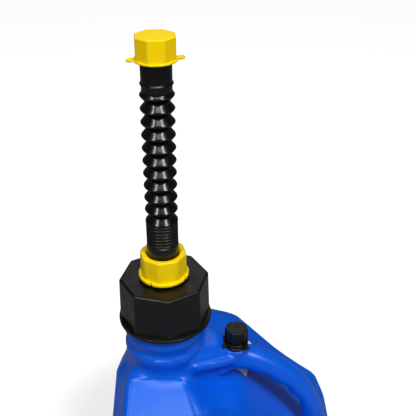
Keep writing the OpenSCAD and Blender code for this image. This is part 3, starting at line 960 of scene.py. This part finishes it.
pins = join("pins", [
    turned("pin", [(0, -1), (NOTCH_R, -1), (NOTCH_R, 7), (0, 7)], 24, tuple(
        (COLLAR_FLANGE_R + 0.3) * f(math.radians(NOTCH_TURN + 360 * i / NOTCHES))
        for f in (math.cos, math.sin)))
    for i in range(NOTCHES)])
combine(collar, pins, "DIFFERENCE")
flat_faces_stay_flat(smooth(collar, 36))
collar.data.materials.clear()
collar.data.materials.append(yellow)
print("collar", len(collar.data.polygons), "faces")

# %% [markdown]
# ## The bellows
# The spout is one soft moulding, and it bends in every valley. A skin runs from the middle of one crest to
# the middle of the next. All the folds come from one node tree: a grid is rolled up, and the radius follows
# a rounded zigzag.

# %% Bellows rule
CREST_R, VALLEY_R = 18.4, 13.0
WALL = 1.3
CREST_ROUND, VALLEY_ROUND = 0.09, 0.06
bend_joints = [j for j in frame["joints"] if j["name"].startswith("spout_bend_")]
hinge_z = [(j["pos_m"][2] - cap_top_z) / MM for j in bend_joints]
PITCH = hinge_z[1] - hinge_z[0]


def eased(x, rounding):
    """A line through 0 and 1 that starts flat: it rounds a tip."""
    return (math.hypot(x, rounding) - rounding) / (math.hypot(1, rounding) - rounding)


def fold_radius(share):
    """The outer radius from the middle of a crest, at 0, over the valley to the next, at 1."""
    up = 1 - eased(1 - abs(2 * share - 1), CREST_ROUND)
    return VALLEY_R + (CREST_R - VALLEY_R) * eased(up, VALLEY_ROUND)


print("bend joints", len(bend_joints), "pitch", round(PITCH, 3))

# %% Bellows fold tree
FOLD_ROWS = 25
AROUND = 96


def fold_tree():
    tree = Tree("bellows fold", {
        "Rows": FOLD_ROWS, "Around": AROUND, "Base": 0.0, "Pitch": PITCH * MM, "Crest": CREST_R * MM,
        "Valley": VALLEY_R * MM, "Wall": WALL * MM, "Axis X": 0.0})
    size = tree.start.outputs
    math_of = tree.math

    def eased_node(x, rounding):
        top = math_of("SUBTRACT", math_of("SQRT", math_of("ADD", math_of("MULTIPLY", x, x), rounding ** 2)),
                      rounding)
        return math_of("DIVIDE", top, math.hypot(1, rounding) - rounding)

    rows = math_of("MULTIPLY", size["Rows"], 2.0)
    grid = tree.node("GeometryNodeMeshGrid", {
        "Size X": 1.0, "Size Y": 1.0, "Vertices X": math_of("ADD", size["Around"], 1.0),
        "Vertices Y": math_of("ADD", rows, 1.0)})[0]
    spot = tree.node("ShaderNodeSeparateXYZ", {0: tree.node("GeometryNodeInputPosition")[0]})
    row = math_of("ROUND", math_of("MULTIPLY", math_of("ADD", spot[1], 0.5), rows))
    back = math_of("SUBTRACT", math_of("SUBTRACT", rows, 1.0), row)
    level = math_of("MAXIMUM", math_of("MINIMUM", row, back), 0.0)
    share = math_of("DIVIDE", level, math_of("SUBTRACT", size["Rows"], 1.0))
    inner = math_of("MULTIPLY", math_of("GREATER_THAN", row, math_of("SUBTRACT", size["Rows"], 0.5)),
                    math_of("GREATER_THAN", back, -0.5))
    down = math_of("SUBTRACT", 1.0, math_of("ABSOLUTE", math_of("SUBTRACT", math_of(
        "MULTIPLY", share, 2.0), 1.0)))
    up = math_of("SUBTRACT", 1.0, eased_node(down, CREST_ROUND))
    depth = math_of("SUBTRACT", size["Crest"], size["Valley"])
    outer = math_of("ADD", size["Valley"], math_of("MULTIPLY", depth, eased_node(up, VALLEY_ROUND)))
    radius = math_of("SUBTRACT", outer, math_of("MULTIPLY", inner, size["Wall"]))
    turn = math_of("MULTIPLY", spot[0], 2 * math.pi)
    place = tree.node("ShaderNodeCombineXYZ", {
        "X": math_of("ADD", size["Axis X"], math_of("MULTIPLY", radius, math_of("COSINE", turn))),
        "Y": math_of("MULTIPLY", radius, math_of("SINE", turn)),
        "Z": math_of("ADD", size["Base"], math_of("MULTIPLY", share, size["Pitch"]))})[0]
    rolled = tree.node("GeometryNodeSetPosition", {"Geometry": grid, "Position": place})[0]
    closed = tree.node("GeometryNodeMergeByDistance", {"Geometry": rolled, "Distance": 1e-5})[0]
    return tree.finish(tree.node("GeometryNodeSetShadeSmooth", {"Geometry": closed})[0])


fold_group = fold_tree()
chain = ["spout_base"] + [j["child"] for j in bend_joints]
folds = []
for k in range(1, len(bend_joints)):
    crest = hinge_z[k - 1] + PITCH / 2
    fold = grow("fold_%02d" % k, fold_group, spout_black,
                {"Base": at(0, 0, crest).z, "Axis X": axis_x})
    smooth(reshape(fold, tidy_shell), 60)
    folds.append(fold)

# %% [markdown]
# The foot of the spout is a turned piece with a flange under the collar, a plain tube, a groove and
# the first crest. The fine ribs over the groove are one ring, repeated along the axis by a second
# node tree. The nozzle is turned too. It starts with the last crest, and has a thin bead below its
# cap.

# %% Spout foot, ribs and nozzle
TUBE_R = 18.2
RIB_R = 1.5
RIBS = 7
RIB_PITCH = 4.1
FIRST_RIB_Z = 49.3
GROOVE_R = TUBE_R - 1.2
FOOT_Z = span("spout_base")[0].z
RIBS_TOP_Z = FIRST_RIB_Z + (RIBS - 1) * RIB_PITCH
NOZZLE_TOP_Z = span("nozzle")[1].z
LAST_CREST_Z = hinge_z[-1] + PITCH / 2
BEAD_Z = LAST_CREST_Z + 12
FIRST_CREST_Z = hinge_z[0] + PITCH / 2
FOOT_BORE_R = 15.4

foot_outline = [
    (STUB_R, FOOT_Z), (STUB_R, FOOT_Z + 3.4), (TUBE_R, FOOT_Z + 3.4), (TUBE_R, FIRST_RIB_Z - 2.6),
    (GROOVE_R, FIRST_RIB_Z - 1.6)]
foot_outline += [(GROOVE_R, FIRST_RIB_Z + i * RIB_PITCH / 2) for i in range(2 * RIBS - 1)]
first_crest = fillet([
    (GROOVE_R - 0.5, RIBS_TOP_Z + 0.9, 0.4), (CREST_R - 0.3, FIRST_CREST_Z - 0.8, 0.4),
    (CREST_R, FIRST_CREST_Z, 0), (CREST_R - WALL, FIRST_CREST_Z, 0)])
inner_wall = [(FOOT_BORE_R, z) for z in (RIBS_TOP_Z - 1, hinge_z[0], FOOT_Z)]
foot = turned("spout_foot", foot_outline + first_crest + inner_wall, AROUND)


def rib_tree():
    tree = Tree("rib stack", {"Count": RIBS, "Pitch": RIB_PITCH * MM, "Radius": (TUBE_R - RIB_R) * MM,
                              "Thickness": RIB_R * MM, "Base": 0.0, "Axis X": 0.0})
    size = tree.start.outputs
    circle = "GeometryNodeCurvePrimitiveCircle"
    ring = tree.node(circle, {"Resolution": AROUND, "Radius": size["Radius"]})[0]
    edge = tree.node(circle, {"Resolution": 14, "Radius": size["Thickness"]})[0]
    rib = tree.node("GeometryNodeCurveToMesh", {"Curve": ring, "Profile Curve": edge})[0]
    start = tree.node("ShaderNodeCombineXYZ", {"X": size["Axis X"], "Z": size["Base"]})[0]
    step = tree.node("ShaderNodeCombineXYZ", {"Z": size["Pitch"]})[0]
    line = tree.node("GeometryNodeMeshLine", {
        "Count": size["Count"], "Start Location": start, "Offset": step})[0]
    stack = tree.node("GeometryNodeInstanceOnPoints", {"Points": line, "Instance": rib})[0]
    return tree.finish(tree.node("GeometryNodeSetShadeSmooth", {"Geometry": stack})[0])


ribs = grow("fine_ribs", rib_tree(), cap_black, {"Base": at(0, 0, FIRST_RIB_Z).z, "Axis X": axis_x})
reshape(ribs, tidy_shell)

last_crest = [(fold_radius(s), LAST_CREST_Z + s * PITCH) for s in np.linspace(0, 0.2, 6)]
nozzle = turned("nozzle_skin", last_crest + fillet([
    (16.1, LAST_CREST_Z + 4.2, 2.0), (16.1, BEAD_Z - 1.5, 0.6), (17.5, BEAD_Z - 0.4, 0.7),
    (17.5, BEAD_Z + 0.5, 0.7), (16.2, BEAD_Z + 1.7, 0.6), (16.5, NOZZLE_TOP_Z, 0.5),
    (14.7, NOZZLE_TOP_Z, 0.5), (14.7, LAST_CREST_Z + 6, 2.0), (CREST_R - WALL, LAST_CREST_Z, 0)]), AROUND)
for piece in (foot, nozzle):
    smooth(piece, 50)
    piece.data.materials.append(spout_black)
print("nozzle", len(nozzle.data.polygons), "faces; foot", len(foot.data.polygons))

# %% [markdown]
# ## The nozzle's cap
# Another eight-sided moulding, with a thin round foot and two ears. Each ear is a rounded tab with
# a raised rim, which a turned ring joined to the tab gives.

# %% Nozzle cap
NOZZLE_CAP_LOW, NOZZLE_CAP_HIGH = span("nozzle_cap")[0].z, span("nozzle_cap")[1].z
NOZZLE_CAP_CORNER_R = 21.9
NOZZLE_CAP_FOOT_R = 22.4
NOZZLE_CAP_BORE_R = 17.0
NOZZLE_CAP_TURN = 28.5
EAR_TURN, EAR_REACH, EAR_R, EAR_T = 11, 29.6, 4.0, 2.9

nozzle_cap = octagon("nozzle_cap_shell", NOZZLE_CAP_CORNER_R, NOZZLE_CAP_CORNER_R,
                     NOZZLE_CAP_LOW + 0.5, NOZZLE_CAP_HIGH, NOZZLE_CAP_TURN, 1.5, 1.6)
foot_disc = turned("foot disc", fillet([
    (0, NOZZLE_CAP_LOW, 0), (NOZZLE_CAP_FOOT_R, NOZZLE_CAP_LOW, 0.8),
    (NOZZLE_CAP_FOOT_R, NOZZLE_CAP_LOW + 2.2, 1.0), (19, NOZZLE_CAP_LOW + 2.4, 0),
    (0, NOZZLE_CAP_LOW + 2.4, 0)]), 128)
combine(nozzle_cap, foot_disc, "UNION")


def ear_root(turn):
    """The straight part of an ear, from the flange to its round end."""
    verts = []
    for r, half in ((19.5, EAR_R), (EAR_REACH - EAR_R, EAR_R - 0.4)):
        for side, z in ((-half, 0.1), (half, 0.1), (half, 2.0), (-half, 2.0)):
            verts.append(at(r * math.cos(turn) - side * math.sin(turn),
                            r * math.sin(turn) + side * math.cos(turn), NOZZLE_CAP_LOW + z))
    faces = [(0, 1, 2, 3), (7, 6, 5, 4)]
    faces += [(j, 4 + j, 4 + (j + 1) % 4, (j + 1) % 4) for j in range(4)]

    def soften(bm):
        tidy_shell(bm)
        bmesh.ops.bevel(bm, geom=bm.edges[:], offset=0.5 * MM, segments=2, profile=0.5, affect="EDGES")
    return reshape(mesh_object("ear root", verts, faces), soften)


for side in (0, 180):
    turn = math.radians(EAR_TURN + side)
    spot = tuple((EAR_REACH - EAR_R) * f for f in (math.cos(turn), math.sin(turn)))
    ear = turned("ear", fillet([
        (0, NOZZLE_CAP_LOW, 0), (EAR_R, NOZZLE_CAP_LOW, 1.3), (EAR_R, NOZZLE_CAP_LOW + EAR_T, 1.3),
        (EAR_R - 2.1, NOZZLE_CAP_LOW + EAR_T, 0.9), (EAR_R - 2.4, NOZZLE_CAP_LOW + 1.6, 0.6),
        (0, NOZZLE_CAP_LOW + 1.6, 0)], 4), 32, spot)
    combine(nozzle_cap, ear_root(turn), "UNION")
    combine(nozzle_cap, ear, "UNION")
bore = turned("bore", [
    (0, NOZZLE_CAP_LOW - 1), (NOZZLE_CAP_BORE_R, NOZZLE_CAP_LOW - 1),
    (NOZZLE_CAP_BORE_R, NOZZLE_CAP_HIGH - 3.5), (0, NOZZLE_CAP_HIGH - 3.5)])
combine(nozzle_cap, bore, "DIFFERENCE")
flat_faces_stay_flat(smooth(nozzle_cap, 36))
nozzle_cap.data.materials.clear()
nozzle_cap.data.materials.append(yellow)
print("nozzle cap", len(nozzle_cap.data.polygons), "faces")

# %% [markdown]
# ## The vent
# A small black screw cap stands on a fitting with two finger wings. The cap's side has eight
# ribs for the fingers, which one node tree sets round the axis.

# %% Vent
VENT_CAP_LOW, VENT_CAP_HIGH = span("vent_cap")[0].z, span("vent_cap")[1].z
VENT_CAP_R = 13.1
FITTING_LOW = span("vent_fitting_gasket")[1].z
RING_TOP = VENT_CAP_LOW - 0.3
RING_R = 15.3
WING_REACH = 22.6
WING_TURNS = (217, 309)
GRIP_RIBS, GRIP_R, GRIP_LENGTH, GRIP_TURN = 8, 1.25, 12.8, -2
GRIP_MIDDLE_Z = VENT_CAP_LOW + 8.2

vent_cap = turned("vent_cap_shell", fillet([
    (9.0, VENT_CAP_LOW, 0), (VENT_CAP_R - 0.5, VENT_CAP_LOW, 0.5), (VENT_CAP_R, VENT_CAP_HIGH, 1.1),
    (VENT_CAP_R - 1.6, VENT_CAP_HIGH, 0.3), (VENT_CAP_R - 1.9, VENT_CAP_HIGH - 0.35, 0.3),
    (0.9, VENT_CAP_HIGH - 0.35, 0.2), (0.6, VENT_CAP_HIGH - 0.05, 0.2), (0, VENT_CAP_HIGH - 0.05, 0),
    (0, VENT_CAP_HIGH - 3, 0), (9.0, VENT_CAP_HIGH - 3, 0)]), 96, (VENT_X, 0))


def grip_tree():
    tree = Tree("grip ribs", {"Count": GRIP_RIBS, "Ring": VENT_CAP_R * MM, "Radius": GRIP_R * MM,
                              "Height": GRIP_LENGTH * MM, "First Turn": math.radians(GRIP_TURN),
                              "Axis X": 0.0, "Base": 0.0})
    size = tree.start.outputs
    rib = tree.node("GeometryNodeMeshUVSphere", {"Segments": 16, "Rings": 12, "Radius": 1.0})[0]
    spot = tree.node("ShaderNodeSeparateXYZ", {0: tree.node("GeometryNodeInputPosition")[0]})
    end = tree.math("MULTIPLY", tree.math("SIGN", spot[2]), tree.math("MULTIPLY", size["Height"], 0.5))
    shaped = tree.node("ShaderNodeCombineXYZ", {
        "X": tree.math("MULTIPLY", spot[0], size["Radius"]),
        "Y": tree.math("MULTIPLY", spot[1], size["Radius"]),
        "Z": tree.math("ADD", end, tree.math("MULTIPLY", spot[2], size["Radius"]))})[0]
    pill = tree.node("GeometryNodeSetPosition", {"Geometry": rib, "Position": shaped})[0]
    ring = tree.node("GeometryNodeMeshCircle", {"Vertices": size["Count"], "Radius": size["Ring"]})[0]
    placed = tree.node("GeometryNodeInstanceOnPoints", {"Points": ring, "Instance": pill})[0]
    turn = tree.node("ShaderNodeCombineXYZ", {"Z": size["First Turn"]})[0]
    move = tree.node("ShaderNodeCombineXYZ", {"X": size["Axis X"], "Z": size["Base"]})[0]
    moved = tree.node("GeometryNodeTransform", {
        "Geometry": placed, "Translation": move, "Rotation": turn})[0]
    return tree.finish(tree.node("GeometryNodeSetShadeSmooth", {"Geometry": moved})[0])


grips = grow("vent_cap_ribs", grip_tree(), cap_black, {
    "Axis X": at(VENT_X, 0, 0).x, "Base": at(0, 0, GRIP_MIDDLE_Z).z})

fitting = turned("vent_fitting_shell", fillet([
    (3.5, FITTING_LOW, 0), (RING_R - 0.2, FITTING_LOW, 0.5), (RING_R - 0.2, FITTING_LOW + 2.2, 0.8),
    (RING_R - 1.8, FITTING_LOW + 3.0, 0.5), (RING_R - 1.8, RING_TOP - 2.8, 0.5),
    (RING_R, RING_TOP - 2.2, 0.5), (RING_R, RING_TOP, 0.9), (8.5, RING_TOP, 0),
    (8.5, VENT_CAP_HIGH - 4.4, 0),
    (3.5, VENT_CAP_HIGH - 4.4, 0)]), 96, (VENT_X, 0))


def wing(turn_degrees):
    """A flat finger wing that droops a little towards its tip."""
    def at_wing(r, side, z):
        turn = math.radians(turn_degrees)
        x = VENT_X + r * math.cos(turn) - side * math.sin(turn)
        return at(x, r * math.sin(turn) + side * math.cos(turn), z)
    stations = [(RING_R - 3, 3.2, 0.0), (RING_R + 3, 3.0, 0.0), (WING_REACH, 2.7, 0.5)]
    verts = []
    for r, half, drop in stations:
        for side, z in ((-half, -3.1), (half, -3.1), (half, 0), (-half, 0)):
            verts.append(at_wing(r, side, RING_TOP + z - (drop if z == 0 else 0)))
    faces = [(0, 1, 2, 3), (11, 10, 9, 8)]
    faces += [(4 * i + j, 4 * i + 4 + j, 4 * i + 4 + (j + 1) % 4, 4 * i + (j + 1) % 4)
              for i in range(2) for j in range(4)]
    made = mesh_object("wing", verts, faces)

    def soften(bm):
        tidy_shell(bm)
        bmesh.ops.bevel(bm, geom=bm.edges[:], offset=0.6 * MM, segments=3, profile=0.5, affect="EDGES")
    return reshape(made, soften)


for turn in WING_TURNS:
    combine(fitting, wing(turn), "UNION")
for piece in (vent_cap, fitting):
    flat_faces_stay_flat(smooth(piece, 36))
    piece.data.materials.clear()
    piece.data.materials.append(cap_black)
print("vent cap", len(vent_cap.data.polygons), "faces; fitting", len(fitting.data.polygons))

# %% [markdown]
# ## The blank label
# A white label lies on the far half of the slanted shoulder. Its corner and its foot are image
# points. A small grid is laid on the skin from them, lifted by the thickness of the paper.

# %% Blank label
LABEL_WIDTH = 21
LABEL_LIFT = 0.25
LABEL_COLUMNS, LABEL_ROWS = 10, 48
PAPER = 0.2
PROBE_REACH = 9


def drop(x, y):
    """Where a plumb line meets the jug."""
    return jug_tree.ray_cast(at(x, y, 50), Vector((0, 0, -1)))[0]


def slope_plane():
    """A point and the normal of the far half of the rear slope."""
    a, b, c = drop(112, 95), drop(104, 60), drop(128, 60)
    normal = (b - a).cross(c - a).normalized()
    return a, normal if normal.z > 0 else -normal


slope_point, slope_normal = slope_plane()


def on_slope(image_point):
    start, ray = sight_line(image_point)
    return start + ray * ((slope_point - start).dot(slope_normal) / ray.dot(slope_normal))


corner = on_slope(points["label_corner"])
foot_point = on_slope(points["label_foot"])
down_edge = foot_point - corner
across = slope_normal.cross(down_edge).normalized() * LABEL_WIDTH * MM
if across.x > 0:
    across = -across


def label():
    verts, faces = [], []
    reach = PROBE_REACH * MM
    for i in range(LABEL_ROWS + 1):
        for j in range(LABEL_COLUMNS + 1):
            guess = corner + down_edge * (i / LABEL_ROWS) + across * (j / LABEL_COLUMNS)
            hit = jug_tree.ray_cast(guess + slope_normal * reach, -slope_normal, 2 * reach)
            verts.append((hit[0] or guess) + slope_normal * LABEL_LIFT * MM)
    for i in range(LABEL_ROWS):
        for j in range(LABEL_COLUMNS):
            a = i * (LABEL_COLUMNS + 1) + j
            faces.append((a, a + LABEL_COLUMNS + 1, a + LABEL_COLUMNS + 2, a + 1))
    made = mesh_object("blank_label", verts, faces)
    sheet = made.modifiers.new("paper", "SOLIDIFY")
    sheet.thickness = PAPER * MM
    sheet.offset = -1
    freeze(made)
    made.data.materials.append(paper)
    return smooth(made, 60)


paper_label = label()
print("label from", [round(c, 3) for c in corner], "to", [round(c, 3) for c in foot_point])

# %% [markdown]
# ## Rubber parts
# The gaskets and liners keep their CAD shape, and only get their material.

# %% Seals
SEALS = ("main_cap_gasket", "spout_gasket", "nozzle_cap_liner", "vent_fitting_gasket",
         "vent_cap_liner")
for node in SEALS:
    seal = frame["nodes"][node]
    seal.data.materials.clear()
    seal.data.materials.append(rubber)

# %% [markdown]
# ## Bodies
# The pieces in the table ride on a body of the frame. The spout's ribs, foot and folds stay fixed where
# they were made, and the foot and each fold hide a CAD part of the spout.

# %% Riding and replacing
rides = [
    (jug, "jug", ["jug_body"], "jug_plastic"),
    (seam, "jug", [], "jug_plastic"),
    (paper_label, "jug", [], "jug_plastic"),
    (fitting, "jug", ["vent_fitting"], "cap_plastic"),
    (cap, "main_cap", ["main_cap"], "cap_plastic"),
    (collar, "collar", ["spout_collar"], "yellow_plastic"),
    (nozzle, "nozzle", ["nozzle"], "spout_plastic"),
    (nozzle_cap, "nozzle_cap", ["nozzle_cap"], "yellow_plastic"),
    (vent_cap, "vent_cap", ["vent_cap"], "cap_plastic"),
    (grips, "vent_cap", [], "cap_plastic"),
]
for piece, body, nodes, slot in rides:
    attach(piece, body)
    if nodes:
        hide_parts(*nodes)

for k, piece in [(0, ribs)] + list(enumerate([foot] + folds)):
    first, second = chain[k], chain[k + 1]
    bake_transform(piece)
    if piece != ribs:
        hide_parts(first)
print("pieces dressed", len(rides) + len(folds) + 2)

# %% [markdown]
# ## Light and ground
# The photograph has two tall soft boxes beside the camera, which draw the pairs of streaks on the bellows,
# and a white ground. The world is white only to the camera. The ground's glow to the camera is lower in a
# round patch beside the jug, a painted shadow on top of the real one.

# %% Floor, world and lamps
FLOOR_ALBEDO = 0.28
# Near the jug the floor's glow to the camera is lower, in a round patch: a painted shadow on top of the
# real one.
PAINTED_SHADOW_GLOW, FAR_GLOW = 0.69, 0.9
PAINTED_SHADOW_MIDDLE = (-0.10, 0.22, 0.0)
PAINTED_SHADOW_RADIUS, PAINTED_SHADOW_END = 0.13, 0.24
WORLD_LIGHT = 0.08


def pale_floor():
    """A matt floor that keeps the shadow and looks nearly white to the camera alone, with a painted shadow
    where its glow is lower in a round patch near the jug.
    """
    material = bpy.data.materials.new("pale_floor")
    material.use_nodes = True
    nodes, links = material.node_tree.nodes, material.node_tree.links
    nodes.clear()
    diffuse = nodes.new("ShaderNodeBsdfDiffuse")
    diffuse.inputs["Color"].default_value = (FLOOR_ALBEDO, FLOOR_ALBEDO, FLOOR_ALBEDO, 1)
    emission = nodes.new("ShaderNodeEmission")
    place = nodes.new("ShaderNodeTexCoord")
    away = nodes.new("ShaderNodeVectorMath")
    away.operation = "DISTANCE"
    away.inputs[1].default_value = PAINTED_SHADOW_MIDDLE
    links.new(place.outputs["Object"], away.inputs[0])
    # The glow is lower inside this round patch: a painted shadow.
    rise = nodes.new("ShaderNodeMapRange")
    rise.interpolation_type = "SMOOTHSTEP"
    rise.inputs["From Min"].default_value = PAINTED_SHADOW_RADIUS
    rise.inputs["From Max"].default_value = PAINTED_SHADOW_END
    rise.inputs["To Min"].default_value = PAINTED_SHADOW_GLOW
    rise.inputs["To Max"].default_value = FAR_GLOW
    links.new(away.outputs["Value"], rise.inputs["Value"])
    links.new(rise.outputs["Result"], emission.inputs["Strength"])
    path = nodes.new("ShaderNodeLightPath")
    nothing = nodes.new("ShaderNodeEmission")
    nothing.inputs["Strength"].default_value = 0.0
    seen = nodes.new("ShaderNodeMixShader")
    links.new(path.outputs["Is Camera Ray"], seen.inputs["Fac"])
    links.new(nothing.outputs[0], seen.inputs[1])
    links.new(emission.outputs[0], seen.inputs[2])
    total = nodes.new("ShaderNodeAddShader")
    links.new(diffuse.outputs[0], total.inputs[0])
    links.new(seen.outputs[0], total.inputs[1])
    end = nodes.new("ShaderNodeOutputMaterial")
    links.new(total.outputs[0], end.inputs["Surface"])
    return material


floor = mesh_object("floor", [(-6, -6, 0), (6, -6, 0), (6, 6, 0), (-6, 6, 0)], [(0, 1, 2, 3)])
floor.data.materials.append(pale_floor())
floor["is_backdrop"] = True

world = bpy.data.worlds.new("studio")
bpy.context.scene.world = world
world.use_nodes = True
nodes, links = world.node_tree.nodes, world.node_tree.links
nodes.clear()
path = nodes.new("ShaderNodeLightPath")
seen = nodes.new("ShaderNodeBackground")
seen.inputs["Color"].default_value = (1, 1, 1, 1)
lit = nodes.new("ShaderNodeBackground")
lit.inputs["Color"].default_value = (0.93, 0.96, 1.0, 1)
lit.inputs["Strength"].default_value = WORLD_LIGHT
chosen = nodes.new("ShaderNodeMixShader")
end = nodes.new("ShaderNodeOutputWorld")
links.new(path.outputs["Is Camera Ray"], chosen.inputs["Fac"])
links.new(lit.outputs[0], chosen.inputs[1])
links.new(seen.outputs[0], chosen.inputs[2])
links.new(chosen.outputs[0], end.inputs["Surface"])

bpy.context.scene.view_settings.view_transform = "Standard"
LIGHT_TARGET = at(0, 0, 120)


def soft_box(name, azimuth, elevation, distance, width, height, watts):
    """A rectangular lamp seen from the target at an azimuth from the camera's side."""
    a, e = math.radians(azimuth), math.radians(elevation)
    lamp = bpy.data.lights.new(name, "AREA")
    lamp.shape = "RECTANGLE"
    lamp.size, lamp.size_y = width, height
    lamp.energy = watts
    obj = bpy.data.objects.new(name, lamp)
    out = Vector((math.sin(a) * math.cos(e), -math.cos(a) * math.cos(e), math.sin(e)))
    obj.location = LIGHT_TARGET + out * distance
    obj.rotation_euler = out.to_track_quat("Z", "Y").to_euler()
    bpy.context.scene.collection.objects.link(obj)
    return obj


soft_box("left_strip", -36, 42, 3.0, 0.28, 1.4, 36)
soft_box("right_strip", 43, 42, 3.0, 0.40, 1.4, 48)
soft_box("top_box", 14, 68, 2.6, 1.3, 1.3, 29)
soft_box("back_box", 178, 36, 2.6, 1.6, 0.7, 3.6)

# %% [markdown]
# ## The finished vertices that show
# The image places of the finished vertices that the camera really sees are gathered.

# %% Points
def shown_vertices():
    """The image places of the finished vertices that show."""
    depsgraph = bpy.context.evaluated_depsgraph_get()
    scene = bpy.context.scene
    start = camera.matrix_world.translation
    found = []
    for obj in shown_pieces():
        world = obj.matrix_world
        verts = obj.data.vertices
        stride = max(1, len(verts) // 4000)
        for v in list(verts)[::stride]:
            place = world @ v.co
            x, y = in_image(place)
            if not (0 <= x <= W and 0 <= y <= H):
                continue
            aim = place - start
            hit = scene.ray_cast(depsgraph, start, aim.normalized(), distance=aim.length - 0.4 * MM)
            if not hit[0] or hit[4] == obj and (hit[1] - place).length < 1.5 * MM:
                found.append((x, y))
    return found


shown = shown_vertices()
